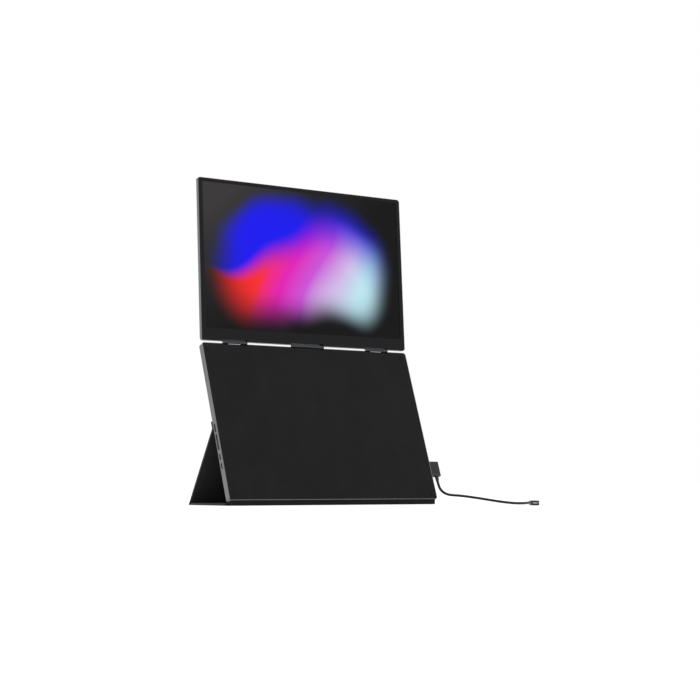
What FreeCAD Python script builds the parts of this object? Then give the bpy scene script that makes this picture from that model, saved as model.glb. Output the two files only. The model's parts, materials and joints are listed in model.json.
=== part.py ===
import FreeCAD, Part
import math
import os
import re

import Sketcher
from FreeCAD import Placement, Rotation, Vector

# Laptop screen extender: a base slab that leans on a folding stand behind a laptop, and a
# display hinged to the top edge of the slab. Lengths are millimetres and angles degrees.
# The object stands on the plane Z = 0 and faces -Y. The origin is the middle of the rubber
# foot under the slab.
#
# Each flat piece is drawn as it lies on its back: X to the right, Y up the panel and Z from
# the back face towards the front face. A frame then stands it up.

DIMENSIONS = {
    # Outline shared by the slab and the display
    "panel_width": 359.0,
    "panel_height": 239.0,
    "corner_radius": 4.0,
    "edge_chamfer": 0.8,
    "fit_gap": 0.1,
    "moving_gap": 0.3,
    # Slab
    "base_thickness": 10.4,
    "base_tilt": 20.0,
    "base_back_wall": 1.2,
    "base_side_wall": 1.5,
    "base_rim": 0.8,
    "front_cover_thickness": 1.2,
    "bumper_radius": 3.0,
    "bumper_inset": 9.0,
    "foot_clear_height": 4.15,
    "foot_set_back": 4.8,
    "foot_inset": 1.0,
    "foot_length": 351.0,
    # Display
    "display_thickness": 6.5,
    "display_tilt": 3.5,
    "display_back_wall": 0.9,
    "display_side_wall": 1.3,
    "display_rim": 0.5,
    "active_width": 344.7,
    "active_height": 215.4,
    "active_bottom": 18.2,
    "bezel_thickness": 0.8,
    "lcd_border": 1.8,
    "lcd_thickness": 1.2,
    "backlight_thickness": 2.0,
    "timing_board_width": 120.0,
    "timing_board_height": 10.0,
    "timing_board_bottom": 3.6,
    "connector_length": 18.0,
    "connector_width": 4.0,
    "connector_height": 0.8,
    "pad_length": 40.0,
    "pad_width": 12.0,
    # Hinges between slab and display
    "closed_gap": 1.0,
    "seam_gap": 3.0,
    "hinge_spacing": 250.0,
    "hinge_length": 40.0,
    "knuckle_length": 9.0,
    "knuckle_radius": 2.2,
    "shaft_radius": 1.1,
    "shaft_clearance": 0.05,
    "shaft_press_gap": 0.02,
    "leaf_thickness": 1.0,
    "leaf_drop": 3.7,
    "base_leaf_height": 16.0,
    "display_leaf_height": 14.0,
    "display_leaf_start": 0.5,
    "hinge_seat_height": 8.0,
    "notch_depth": 3.2,
    "guard_length": 56.0,
    "guard_wall": 0.6,
    "guard_leaf_height": 8.0,
    "cable_roll_radius": 1.35,
    "cable_roll_inset": 1.0,
    # Screws and their bosses
    "boss_radius": 2.3,
    "screw_radius": 0.9,
    "screw_length": 2.0,
    "screw_head_radius": 1.7,
    "screw_head_height": 0.5,
    "leaf_screw_spacing": 28.0,
    "base_leaf_screw_drop": 12.0,
    "display_leaf_screw_rise": 8.0,
    "board_screw_inset": 5.0,
    # Boards and sockets
    "board_lift": 0.9,
    "board_thickness": 1.0,
    "driver_board_width": 118.0,
    "driver_board_height": 62.0,
    "driver_board_bottom": 10.0,
    "io_board_width": 46.0,
    "io_board_height": 44.0,
    "io_board_bottom": 30.0,
    "port_length": 9.1,
    "port_depth": 3.2,
    "socket_wall": 0.3,
    "blade_length": 6.7,
    "blade_thickness": 0.7,
    "socket_reach": 8.0,
    "upper_port_height": 65.8,
    "lower_port_height": 52.2,
    "right_port_height": 54.0,
    "ribbon_width": 12.0,
    "ribbon_thickness": 0.3,
    "ribbon_overlap": 8.0,
    # Speakers and their grilles
    "grille_holes": 9,
    "grille_pitch": 3.68,
    "grille_start": 179.6,
    "grille_hole_radius": 0.7,
    "grille_depth": 4.4,
    "speaker_length": 46.0,
    "speaker_width": 18.0,
    "speaker_depth": 6.0,
    "speaker_cone_depth": 1.2,
    # Buttons on the left edge
    "button_depth": 4.9,
    "button_thickness": 2.6,
    "button_proud": 0.6,
    "button_chamfer": 0.25,
    "button_play": 0.25,
    "button_flange": 0.8,
    "button_flange_thickness": 0.9,
    "power_centre": 108.9,
    "power_length": 12.4,
    "power_travel": 0.35,
    "power_flange_gap": 0.3,
    "rocker_flange_gap": 0.75,
    "rocker_web_length": 4.0,
    "rocker_web_gap": 0.35,
    "rocker_pin_setback": 2.9,
    "rocker_centre": 88.0,
    "rocker_length": 23.6,
    "rocker_swing": 2.0,
    "rocker_pin_radius": 0.6,
    "switch_size": 3.2,
    "switch_gap": 0.45,
    "button_board_setback": 4.35,
    "rocker_switch_spacing": 17.0,
    "button_board_bottom": 74.0,
    "button_board_length": 45.0,
    "button_board_width": 7.0,
    # Folding stand
    "stand_width": 359.0,
    "stand_thickness": 3.0,
    "stand_skin": 0.8,
    "stand_stow_gap": 0.3,
    "stand_base_length": 105.5,
    "stand_back_length": 126.0,
    "stand_strip_length": 10.4,
    "crease_relief": 1.0,
    "stand_board_start": 1.5,
    "foot_crease_relief": 5.4,
    "magnet_length": 24.0,
    "magnet_width": 5.0,
    "magnet_thickness": 1.6,
    "magnet_count": 6,
    "magnet_pitch": 52.0,
    # Link cable with an angled plug at the slab and a straight plug at the far end
    "plug_reach": 18.5,
    "plug_height": 22.7,
    "plug_depth": 6.8,
    "plug_port_drop": 6.5,
    "plug_cable_offset": 11.7,
    "plug_edge_radius": 1.6,
    "plug_end_chamfer": 0.5,
    "tongue_length": 8.34,
    "tongue_depth": 2.56,
    "tongue_reach": 6.6,
    "tongue_root": 1.1,
    "relief_length": 8.0,
    "relief_radius": 2.7,
    "relief_lip": 0.3,
    "cable_radius": 1.9,
    "end_plug_length": 24.0,
    "end_plug_width": 11.6,
}

doc = FreeCAD.newDocument("screen_extender")
sheet = doc.addObject("Spreadsheet::Sheet", "dims")
for row, (alias, number) in enumerate(DIMENSIONS.items(), start=1):
    sheet.set(f"A{row}", alias)
    sheet.set(f"B{row}", str(number))
    sheet.setAlias(f"B{row}", alias)
doc.recompute()

nodes = []

# Shapes nearer than this count as touching, mm
TOUCHING = 1e-6


def bound(text):
    """Turns the sheet's names in a formula into references to its cells."""
    def cell(word):
        return "dims." + word.group() if word.group() in DIMENSIONS else word.group()

    return re.sub(r"[a-z][a-z_]+", cell, str(text))


def value(text):
    """Reads a formula of the sheet's names as a number."""
    return float(sheet.evalExpression(bound(text)))


def bind(target, prop, text):
    target.setExpression(prop, bound(text))


def keep(item, label, frame):
    """Names a finished sub-part and stands it in its frame."""
    item.Label = label
    item.Placement = frame.multiply(item.Placement)
    nodes.append(item)
    return item


# Frames

def lean_frame(angle, y, z):
    """A frame whose Y axis rises at an angle from the table and whose origin is at y, z."""
    return Placement(Vector(0, y, z), Rotation(Vector(1, 0, 0), angle))


WORLD = Placement()
base_angle = 90 - value("base_tilt")
display_angle = 90 - value("display_tilt")
BASE = lean_frame(base_angle, value("foot_set_back"), value("foot_clear_height"))

hinge_in_base = Vector(0, value("panel_height + seam_gap / 2"), value("base_thickness + closed_gap / 2"))
hinge_in_display = Vector(0, value("-seam_gap / 2"), value("display_thickness + closed_gap / 2"))
hinge_point = BASE.multVec(hinge_in_base)
display_turn = lean_frame(display_angle, 0, 0)
display_origin = hinge_point - display_turn.multVec(hinge_in_display)
DISPLAY = lean_frame(display_angle, display_origin.y, display_origin.z)

# The stand is a triangle: slab, base panel on the table, back panel. Each crease lies in the
# middle of the outer skin.
crease_depth = value("stand_stow_gap + stand_thickness - stand_skin / 2")
tilt = math.radians(value("base_tilt"))
half_skin = value("stand_skin / 2")
root_rise = (half_skin - value("foot_clear_height") + crease_depth * math.sin(tilt)) / math.cos(tilt)
root_crease = BASE.multVec(Vector(0, root_rise, -crease_depth))
root_angle = math.radians(base_angle)
base_run = value("stand_base_length")
back_run = value("stand_back_length")
top_angle = math.asin(base_run * math.sin(root_angle) / back_run)
slab_run = base_run * math.cos(root_angle) + back_run * math.cos(top_angle)
back_angle = base_angle + math.degrees(top_angle)
foot_crease = root_crease + Vector(0, base_run, 0)
top_crease = BASE.multVec(Vector(0, root_rise + slab_run, -crease_depth))
STAND_BASE = lean_frame(0, root_crease.y, root_crease.z)
STAND_BACK = lean_frame(back_angle, foot_crease.y, foot_crease.z)
STAND_STRIP = lean_frame(base_angle, top_crease.y, top_crease.z)


# Sketches and features

def new_body(label, frame):
    return keep(doc.addObject("PartDesign::Body", label), label, frame)


def sketch_on(body, name, role="XY_Plane", offset="0"):
    """A sketch on one of the body's origin planes, moved along its normal."""
    plane = next(item for item in body.Origin.OriginFeatures if item.Role == role)
    sketch = body.newObject("Sketcher::SketchObject", name)
    sketch.AttachmentSupport = [(plane, "")]
    sketch.MapMode = "FlatFace"
    bind(sketch, "AttachmentOffset.Base.z", offset)
    doc.recompute()
    return sketch


def constrain(sketch, kind, geometry, place, text):
    """Ties one point of a sketch, or a radius, to a formula."""
    if kind == "Radius":
        index = sketch.addConstraint(Sketcher.Constraint(kind, geometry, value(text)))
    else:
        index = sketch.addConstraint(Sketcher.Constraint(kind, -1, 1, geometry, place, value(text)))
    bind(sketch, f"Constraints[{index}]", text)


def rectangle(sketch, left, right, bottom, top):
    x_low, x_high, y_low, y_high = value(left), value(right), value(bottom), value(top)
    corners = ((x_low, y_low), (x_high, y_low), (x_high, y_high), (x_low, y_high))
    points = [Vector(x, y, 0) for x, y in corners]
    first = sketch.GeometryCount
    for start, end in zip(points, points[1:] + points[:1]):
        sketch.addGeometry(Part.LineSegment(start, end))
    for side in range(4):
        following = first + (side + 1) % 4
        sketch.addConstraint(Sketcher.Constraint("Coincident", first + side, 2, following, 1))
        sketch.addConstraint(Sketcher.Constraint("Vertical" if side % 2 else "Horizontal", first + side))
    constrain(sketch, "DistanceX", first, 1, left)
    constrain(sketch, "DistanceY", first, 1, bottom)
    constrain(sketch, "DistanceX", first + 2, 1, right)
    constrain(sketch, "DistanceY", first + 2, 1, top)


def circle(sketch, x, y, radius):
    centre = Vector(value(x), value(y), 0)
    index = sketch.addGeometry(Part.Circle(centre, Vector(0, 0, 1), value(radius)))
    constrain(sketch, "DistanceX", index, 3, x)
    constrain(sketch, "DistanceY", index, 3, y)
    constrain(sketch, "Radius", index, 0, radius)


def pill(sketch, x, y, length, width):
    """A slot with round ends that runs along the sketch's X axis."""
    mid_x, mid_y, radius = value(x), value(y), value(f"({width}) / 2")
    reach = value(f"(({length}) - ({width})) / 2")
    right, left = Vector(mid_x + reach, mid_y, 0), Vector(mid_x - reach, mid_y, 0)
    up = Vector(0, radius, 0)
    quarter = math.pi / 2
    right_end = Part.ArcOfCircle(Part.Circle(right, Vector(0, 0, 1), radius), -quarter, quarter)
    left_end = Part.ArcOfCircle(Part.Circle(left, Vector(0, 0, 1), radius), quarter, 3 * quarter)
    first = sketch.GeometryCount
    upper, lower = Part.LineSegment(right + up, left + up), Part.LineSegment(left - up, right - up)
    for geometry in (right_end, upper, left_end, lower):
        sketch.addGeometry(geometry)
    for side in range(4):
        sketch.addConstraint(Sketcher.Constraint("Tangent", first + side, 2, first + (side + 1) % 4, 1))
    sketch.addConstraint(Sketcher.Constraint("Equal", first, first + 2))
    constrain(sketch, "Radius", first, 0, f"({width}) / 2")
    for index, sign in ((first, "+"), (first + 2, "-")):
        constrain(sketch, "DistanceX", index, 3, f"{x} {sign} (({length}) - ({width})) / 2")
        constrain(sketch, "DistanceY", index, 3, y)


def outline(sketch, points):
    """A closed outline of straight lines through formula points."""
    first = sketch.GeometryCount
    spots = [Vector(value(x), value(y), 0) for x, y in points]
    for start, end in zip(spots, spots[1:] + spots[:1]):
        sketch.addGeometry(Part.LineSegment(start, end))
    for side, (x, y) in enumerate(points):
        following = first + (side + 1) % len(points)
        sketch.addConstraint(Sketcher.Constraint("Coincident", first + side, 2, following, 1))
        constrain(sketch, "DistanceX", first + side, 1, x)
        constrain(sketch, "DistanceY", first + side, 1, y)


def raise_solid(body, sketch, length, backwards=False):
    pad = body.newObject("PartDesign::Pad", sketch.Name + "_pad")
    pad.Profile = sketch
    bind(pad, "Length", length)
    pad.Reversed = backwards
    doc.recompute()
    return pad


def cut_away(body, sketch, length, forwards=False):
    """A pocket, checked to remove something. It cuts against the sketch's normal."""
    before = body.Shape.Volume
    pocket = body.newObject("PartDesign::Pocket", sketch.Name + "_pocket")
    pocket.Profile = sketch
    bind(pocket, "Length", length)
    pocket.Reversed = forwards
    doc.recompute()
    if body.Shape.Volume > before - TOUCHING:
        raise RuntimeError(f"{pocket.Name} cuts nothing")
    return pocket


def round_edges(body, radius, wanted, kind="PartDesign::Fillet"):
    """Rounds the edges of the body's tip that a test picks out."""
    tip = body.Tip
    names = [f"Edge{number}" for number, edge in enumerate(tip.Shape.Edges, start=1) if wanted(edge)]
    feature = body.newObject(kind, f"{body.Name}_round_{len(body.Group)}")
    feature.Base = (tip, names)
    bind(feature, "Radius" if kind.endswith("Fillet") else "Size", radius)
    doc.recompute()
    return feature


def upright(edge):
    """An edge along Z, such as a corner of a flat piece."""
    box = edge.BoundBox
    return box.XLength + box.YLength < TOUCHING


def level_at(height):
    """Edges that lie in one plane square to Z."""
    def test(edge):
        box = edge.BoundBox
        return abs(box.ZMin - height) + abs(box.ZMax - height) < TOUCHING

    return test


def plate(label, frame, left, right, bottom, top, back, front, corner=None):
    """A flat piece between two depths, with round corners where a radius is given."""
    body = new_body(label, frame)
    sketch = sketch_on(body, label + "_outline", offset=back)
    rectangle(sketch, left, right, bottom, top)
    raise_solid(body, sketch, f"({front}) - ({back})")
    if corner:
        round_edges(body, corner, upright)
    return body


def block(name, left, right, bottom, top, back, front):
    """A box between six formula planes."""
    box = doc.addObject("Part::Box", name)
    bind(box, "Length", f"({right}) - ({left})")
    bind(box, "Width", f"({top}) - ({bottom})")
    bind(box, "Height", f"({front}) - ({back})")
    box.Placement.Base = Vector(value(left), value(bottom), value(back))
    return box


def rod(name, radius, start, end):
    """A cylinder between two points."""
    cylinder = doc.addObject("Part::Cylinder", name)
    bind(cylinder, "Radius", radius)
    cylinder.Height = (end - start).Length
    cylinder.Placement = Placement(start, Rotation(Vector(0, 0, 1), end - start))
    return cylinder


def combine(kind, name, pieces):
    """A fuse or a compound of several objects, or a cut of the first by the rest."""
    joined = doc.addObject(kind, name)
    if kind == "Part::Cut":
        joined.Base, joined.Tool = pieces
    elif kind == "Part::Compound":
        joined.Links = pieces
    else:
        joined.Shapes = pieces
    doc.recompute()
    return joined


# Shells

def tray(label, frame, thickness, back_wall, side_wall, rim, cover):
    """An open shell: a slab with round corners, a broken back edge, a cavity and a cover step."""
    body = new_body(label, frame)
    outer = sketch_on(body, label + "_outline")
    rectangle(outer, "-panel_width / 2", "panel_width / 2", "0", "panel_height")
    raise_solid(body, outer, thickness)
    round_edges(body, "corner_radius", upright)
    round_edges(body, "edge_chamfer", level_at(0), "PartDesign::Chamfer")
    for name, inset, depth in (("cavity", side_wall, f"{thickness} - {back_wall}"), ("step", rim, cover)):
        hollow = sketch_on(body, f"{label}_{name}", offset=thickness)
        left, right = f"-panel_width / 2 + {inset}", f"panel_width / 2 - {inset}"
        rectangle(hollow, left, right, inset, f"panel_height - {inset}")
        cut_away(body, hollow, depth)
    return body


HINGES = ("-hinge_spacing / 2", "hinge_spacing / 2")
SEAM_FITTINGS = [(HINGES[0], "hinge_length"), (HINGES[1], "hinge_length"), ("0", "guard_length")]
SLAB_SEAM = ("panel_height - notch_depth", "panel_height + notch_depth")
DISPLAY_SEAM = ("-notch_depth", "notch_depth")


def cut_notches(body, label, thickness, bottom, top):
    """Notches in the edge at the seam, as deep as the hinge leaves sit."""
    sketch = sketch_on(body, label + "_notches", offset=thickness)
    for middle, length in SEAM_FITTINGS:
        left, right = f"{middle} - {length} / 2 - moving_gap", f"{middle} + {length} / 2 + moving_gap"
        rectangle(sketch, left, right, bottom, top)
    cut_away(body, sketch, "leaf_drop - closed_gap / 2 + fit_gap")


def leaf_screw_places(row):
    """The screws of both hinge leaves, in one row at a height formula."""
    return [(f"{hinge} {side} leaf_screw_spacing / 2", row) for hinge in HINGES for side in ("-", "+")]


def drill(body, label, places, top, depth):
    """Blind screw holes from one depth formula."""
    holes = sketch_on(body, label + "_holes", offset=top)
    for x, y in places:
        circle(holes, x, y, "screw_radius + fit_gap / 2")
    cut_away(body, holes, depth)


def add_hinge_seats(body, label, row, floor, leaf_back):
    """A raised seat under each hinge leaf, with its screw holes."""
    seats = sketch_on(body, label + "_seats", offset=floor)
    for middle in HINGES:
        rectangle(seats, f"{middle} - hinge_length / 2", f"{middle} + hinge_length / 2",
                  f"{row} - hinge_seat_height / 2", f"{row} + hinge_seat_height / 2")
    raise_solid(body, seats, f"{leaf_back} - {floor}")
    drill(body, label, leaf_screw_places(row), leaf_back, "screw_length + fit_gap")


def add_bosses(body, label, places, floor, height):
    """Round bosses on the back wall, each with a blind screw hole."""
    sketch = sketch_on(body, label + "_bosses", offset=floor)
    for x, y in places:
        circle(sketch, x, y, "boss_radius")
    raise_solid(body, sketch, height)
    drill(body, label, places, f"{floor} + {height}", height)


base_leaf_back = "base_thickness + closed_gap / 2 - leaf_drop"
display_leaf_back = "display_thickness + closed_gap / 2 - leaf_drop"
base_leaf_screw_row = "panel_height - base_leaf_screw_drop"
display_leaf_screw_row = "display_leaf_screw_rise"
board_back = "base_back_wall + board_lift"
board_front = f"{board_back} + board_thickness"
port_middle = f"{board_front} + port_depth / 2 + socket_wall"
left_wall_inside = "-panel_width / 2 + base_side_wall"

driver_board_left = f"{left_wall_inside} + socket_wall"
io_board_left = "panel_width / 2 - base_side_wall - socket_wall - io_board_width"


def corner_screws(left, width, bottom, height):
    """Two screws in opposite corners of a board."""
    inset = "board_screw_inset"
    return [(f"{left} + {inset}", f"{bottom} + {inset}"),
            (f"{left} + {width} - {inset}", f"{bottom} + {height} - {inset}")]


driver_screw_places = corner_screws(driver_board_left, "driver_board_width", "driver_board_bottom",
                                    "driver_board_height")
io_screw_places = corner_screws(io_board_left, "io_board_width", "io_board_bottom", "io_board_height")
board_screw_places = driver_screw_places + io_screw_places


def base_rear_shell():
    body = tray("base_rear_shell", BASE, "base_thickness", "base_back_wall", "base_side_wall", "base_rim",
                "front_cover_thickness")
    cut_notches(body, "base", "base_thickness", *SLAB_SEAM)
    add_hinge_seats(body, "base_hinge", base_leaf_screw_row, "base_back_wall", base_leaf_back)
    add_bosses(body, "base_board", board_screw_places, "base_back_wall", "board_lift")
    left = sketch_on(body, "left_edge_openings", "YZ_Plane", "-panel_width / 2")
    play = "2 * button_play"
    for middle, length in (("power_centre", "power_length"), ("rocker_centre", "rocker_length")):
        pill(left, middle, "button_depth", f"{length} + {play}", f"button_thickness + {play}")
    for height in ("upper_port_height", "lower_port_height"):
        pill(left, height, port_middle, "port_length", "port_depth")
    for number in range(int(value("grille_holes"))):
        circle(left, f"grille_start + {number} * grille_pitch", "grille_depth", "grille_hole_radius")
    cut_away(body, left, "base_side_wall + fit_gap", forwards=True)
    right = sketch_on(body, "right_edge_openings", "YZ_Plane", "panel_width / 2")
    pill(right, "right_port_height", port_middle, "port_length", "port_depth")
    for number in range(int(value("grille_holes"))):
        circle(right, f"grille_start + {number} * grille_pitch", "grille_depth", "grille_hole_radius")
    cut_away(body, right, "base_side_wall + fit_gap")
    return body


def base_front_cover():
    edge = "(base_rim + fit_gap)"
    body = plate("base_front_cover", BASE, f"-panel_width / 2 + {edge}", f"panel_width / 2 - {edge}", edge,
                 f"panel_height - {edge}", "base_thickness - front_cover_thickness", "base_thickness",
                 "corner_radius - base_rim")
    cut_notches(body, "front_cover", "base_thickness", *SLAB_SEAM)
    return body


def closing_bumpers():
    """Four soft dots on the slab's front that the closed display rests on."""
    reach = Vector(0, 0, value("closed_gap - moving_gap"))
    pieces = []
    for side in (-1, 1):
        for height in ("bumper_inset", "panel_height - bumper_inset"):
            x = side * value("panel_width / 2 - bumper_inset")
            middle = Vector(x, value(height), value("base_thickness"))
            pieces.append(rod("bumper", "bumper_radius", middle, middle + reach))
    keep(combine("Part::Compound", "bumpers", pieces), "closing_bumpers", BASE)


def foot_strip():
    """Rubber foot under the slab, with a skin tongue that runs back to the first crease."""
    body = new_body("foot_strip", WORLD)
    front_top = BASE.multVec(Vector(0, 0, value("base_thickness - foot_inset")))
    back_top = BASE.multVec(Vector(0, 0, value("foot_inset")))
    skin = value("stand_skin")
    heel = Vector(0, back_top.y + skin, skin)
    toe = Vector(0, front_top.y + skin, 0)
    bead_top = Vector(0, root_crease.y, skin)
    bead_bottom = Vector(0, root_crease.y, 0)
    bead_tip = root_crease + Vector(0, half_skin, 0)
    lines = [(toe, front_top), (front_top, back_top), (back_top, heel), (heel, bead_top)]
    edges = [Part.makeLine(start, end) for start, end in lines]
    edges.append(Part.Arc(bead_top, bead_tip, bead_bottom).toShape())
    edges.append(Part.makeLine(bead_bottom, toe))
    section = Part.Face(Part.Wire(edges))
    length = value("foot_length")
    profile = doc.addObject("Part::Feature", "foot_profile")
    profile.Shape = section.translated(Vector(-length / 2, 0, 0)).extrude(Vector(length, 0, 0))
    body.BaseFeature = profile
    doc.recompute()
    return body


base_rear_shell()
base_front_cover()
closing_bumpers()
foot_strip()

# Boards, sockets, speakers and buttons

def boards():
    driver = new_body("driver_board", BASE)
    sketch = sketch_on(driver, "driver_outline", offset=board_back)
    rectangle(sketch, driver_board_left, f"{driver_board_left} + driver_board_width", "driver_board_bottom",
              "driver_board_bottom + driver_board_height")
    for x, y in driver_screw_places:
        circle(sketch, x, y, "screw_radius + fit_gap")
    raise_solid(driver, sketch, "board_thickness")
    side = new_body("io_board", BASE)
    sketch = sketch_on(side, "io_outline", offset=board_back)
    rectangle(sketch, io_board_left, f"{io_board_left} + io_board_width", "io_board_bottom",
              "io_board_bottom + io_board_height")
    for x, y in io_screw_places:
        circle(sketch, x, y, "screw_radius + fit_gap")
    raise_solid(side, sketch, "board_thickness")
    middle = "io_board_bottom + io_board_height / 2"
    plate("board_ribbon", BASE, f"{driver_board_left} + driver_board_width - ribbon_overlap",
          f"{io_board_left} + ribbon_overlap", f"{middle} - ribbon_width / 2", f"{middle} + ribbon_width / 2",
          board_front, f"{board_front} + ribbon_thickness")


def socket(side, height):
    """A port socket: a round-ended metal shell with a contact blade, open at the slab's edge."""
    mouth = value("panel_width / 2 - base_side_wall")
    reach = value("socket_reach")
    wall = value("socket_wall")
    middle = Vector(side * mouth, value(height), value(port_middle))
    inward = Vector(-side, 0, 0)

    def pill_prism(length, width, start, run):
        radius = width / 2
        half = length / 2 - radius
        top, low, up = Vector(0, half, 0), Vector(0, -half, 0), Vector(0, 0, radius)
        edges = [
            Part.Arc(top + up, top + Vector(0, radius, 0), top - up).toShape(),
            Part.makeLine(top - up, low - up),
            Part.Arc(low - up, low - Vector(0, radius, 0), low + up).toShape(),
            Part.makeLine(low + up, top + up),
        ]
        face = Part.Face(Part.Wire(edges))
        return face.translated(start).extrude(inward * run)

    length, depth = value("port_length"), value("port_depth")
    shell = pill_prism(length + 2 * wall, depth + 2 * wall, middle, reach)
    bore = pill_prism(length, depth, middle, reach - wall)
    blade_length, blade_thickness = value("blade_length"), value("blade_thickness")
    blade_reach = reach - 2 * wall
    blade = Part.makeBox(blade_reach, blade_length, blade_thickness)
    root = middle + inward * (reach - wall / 2)
    start = root.x if side > 0 else root.x - blade_reach
    blade.translate(Vector(start, middle.y - blade_length / 2, middle.z - blade_thickness / 2))
    return shell.cut(bore).fuse(blade)


def sockets():
    left = doc.addObject("Part::Feature", "left_sockets")
    left.Shape = Part.makeCompound([socket(-1, "upper_port_height"), socket(-1, "lower_port_height")])
    keep(left, "left_usb_sockets", BASE)
    right = doc.addObject("Part::Feature", "right_socket")
    right.Shape = socket(1, "right_port_height")
    keep(right, "right_usb_socket", BASE)


boards()
sockets()


def speaker(label, sign):
    """A closed speaker box against the edge wall, with a sound outlet at the grille."""
    grille_middle = "grille_start + (grille_holes - 1) * grille_pitch / 2"
    outer = "panel_width / 2 - base_side_wall - fit_gap"
    left, right = f"-({outer})", f"-({outer}) + speaker_width"
    if sign > 0:
        left, right = f"{outer} - speaker_width", outer
    body = plate(label, BASE, left, right, f"{grille_middle} - speaker_length / 2",
                 f"{grille_middle} + speaker_length / 2", "base_back_wall", "base_back_wall + speaker_depth")
    cone = sketch_on(body, label + "_cone", offset="base_back_wall + speaker_depth")
    across = f"({left} + {right}) / 2"
    rectangle(cone, f"{across} - speaker_width / 3", f"{across} + speaker_width / 3",
              f"{grille_middle} - speaker_length / 3", f"{grille_middle} + speaker_length / 3")
    cut_away(body, cone, "speaker_cone_depth")


def magnet_places():
    """The middles of the magnets along X, the same in the slab and in the strip."""
    count = int(value("magnet_count"))
    return [f"{number} * magnet_pitch - {(count - 1) / 2} * magnet_pitch" for number in range(count)]


def slab_magnets():
    """Two rows inside the back wall: one holds the strip in use, the other when it is folded."""
    strip_middle = value("(stand_strip_length + moving_gap) / 2")
    rows = (root_rise + slab_run + strip_middle, root_rise + base_run + back_run + strip_middle)
    pieces = []
    for height in rows:
        for middle in magnet_places():
            left, right = f"{middle} - magnet_length / 2", f"{middle} + magnet_length / 2"
            bottom, top = f"{height} - magnet_width / 2", f"{height} + magnet_width / 2"
            front = "base_back_wall + magnet_thickness"
            pieces.append(block("magnet", left, right, bottom, top, "base_back_wall", front))
    keep(combine("Part::Compound", "slab_magnet_rows", pieces), "slab_magnets", BASE)


def button(label, middle, length, gap):
    """A button in the left edge: a pill cap with a flange behind the wall."""
    body = new_body(label, BASE)
    cap = sketch_on(body, label + "_cap", "YZ_Plane", "-panel_width / 2 - button_proud")
    pill(cap, middle, "button_depth", length, "button_thickness")
    raise_solid(body, cap, f"button_proud + base_side_wall + {gap}")
    outer_face = value("-panel_width / 2 - button_proud")
    button_reach = value("fit_gap")
    round_edges(body, "button_chamfer", lambda edge: abs(edge.BoundBox.XMax - outer_face) < button_reach,
                "PartDesign::Chamfer")
    flange = sketch_on(body, label + "_flange", "YZ_Plane", f"{left_wall_inside} + {gap}")
    margin = "2 * button_flange"
    pill(flange, middle, "button_depth", f"{length} + {margin}", f"button_thickness + {margin}")
    raise_solid(body, flange, "button_flange_thickness")
    return body


def power_button():
    button("power_button", "power_centre", "power_length", "power_flange_gap")


def volume_rocker():
    """The rocker turns on a pin that stands on the back wall."""
    body = button("volume_rocker", "rocker_centre", "rocker_length", "rocker_flange_gap")
    web = sketch_on(body, "rocker_web", offset="button_depth - button_thickness / 2")
    flange_back = f"{left_wall_inside} + rocker_flange_gap + button_flange_thickness"
    web_end = f"{left_wall_inside} + button_board_setback - rocker_web_gap"
    rectangle(web, f"{flange_back} - 2 * fit_gap", web_end, "rocker_centre - rocker_web_length / 2",
              "rocker_centre + rocker_web_length / 2")
    raise_solid(body, web, "button_thickness")
    bore = sketch_on(body, "rocker_bore", offset="button_depth + button_thickness")
    pin_x = f"{left_wall_inside} + rocker_pin_setback"
    circle(bore, pin_x, "rocker_centre", "rocker_pin_radius + shaft_clearance")
    cut_away(body, bore, "2 * button_thickness")


def rocker_pin():
    x, height = value(f"{left_wall_inside} + rocker_pin_setback"), value("rocker_centre")
    start = Vector(x, height, value("base_back_wall"))
    end = Vector(x, height, value("button_depth + button_thickness"))
    keep(rod("pin", "rocker_pin_radius", start, end), "rocker_pin", BASE)


def button_board():
    front = f"{left_wall_inside} + button_board_setback"
    board_top = "button_board_bottom + button_board_length"
    board = block("board", front, f"{front} + board_thickness", "button_board_bottom", board_top,
                  "base_back_wall", "base_back_wall + button_board_width")
    keep(board, "button_board", BASE)
    rocker_face = f"{left_wall_inside} + rocker_flange_gap + button_flange_thickness + switch_gap"
    power_face = f"{left_wall_inside} + power_flange_gap + button_flange_thickness + switch_gap"
    switches = [("power_centre", power_face)]
    for sign in ("-", "+"):
        switches.append((f"rocker_centre {sign} rocker_switch_spacing / 2", rocker_face))
    pieces = []
    for middle, face in switches:
        bottom, top = f"{middle} - switch_size / 2", f"{middle} + switch_size / 2"
        pieces.append(block("switch", face, front, bottom, top, "button_depth - switch_size / 2",
                            "button_depth + switch_size / 2"))
    keep(combine("Part::Compound", "switch_row", pieces), "button_switches", BASE)


# Hinges and the cable guard

def knuckles(name, axis, spans, towards):
    """Rolled knuckles: each a drum on the axis with an arm down to the level of the leaf."""
    pieces = []
    for left, right in spans:
        start, end = Vector(value(left), axis.y, axis.z), Vector(value(right), axis.y, axis.z)
        pieces.append(rod(name + "_drum", "knuckle_radius", start, end))
        low, high = sorted((axis.y, axis.y + towards * value("knuckle_radius")))
        pieces.append(block(name + "_arm", left, right, low, high, f"{axis.z} - leaf_drop", axis.z))
    return pieces


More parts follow.
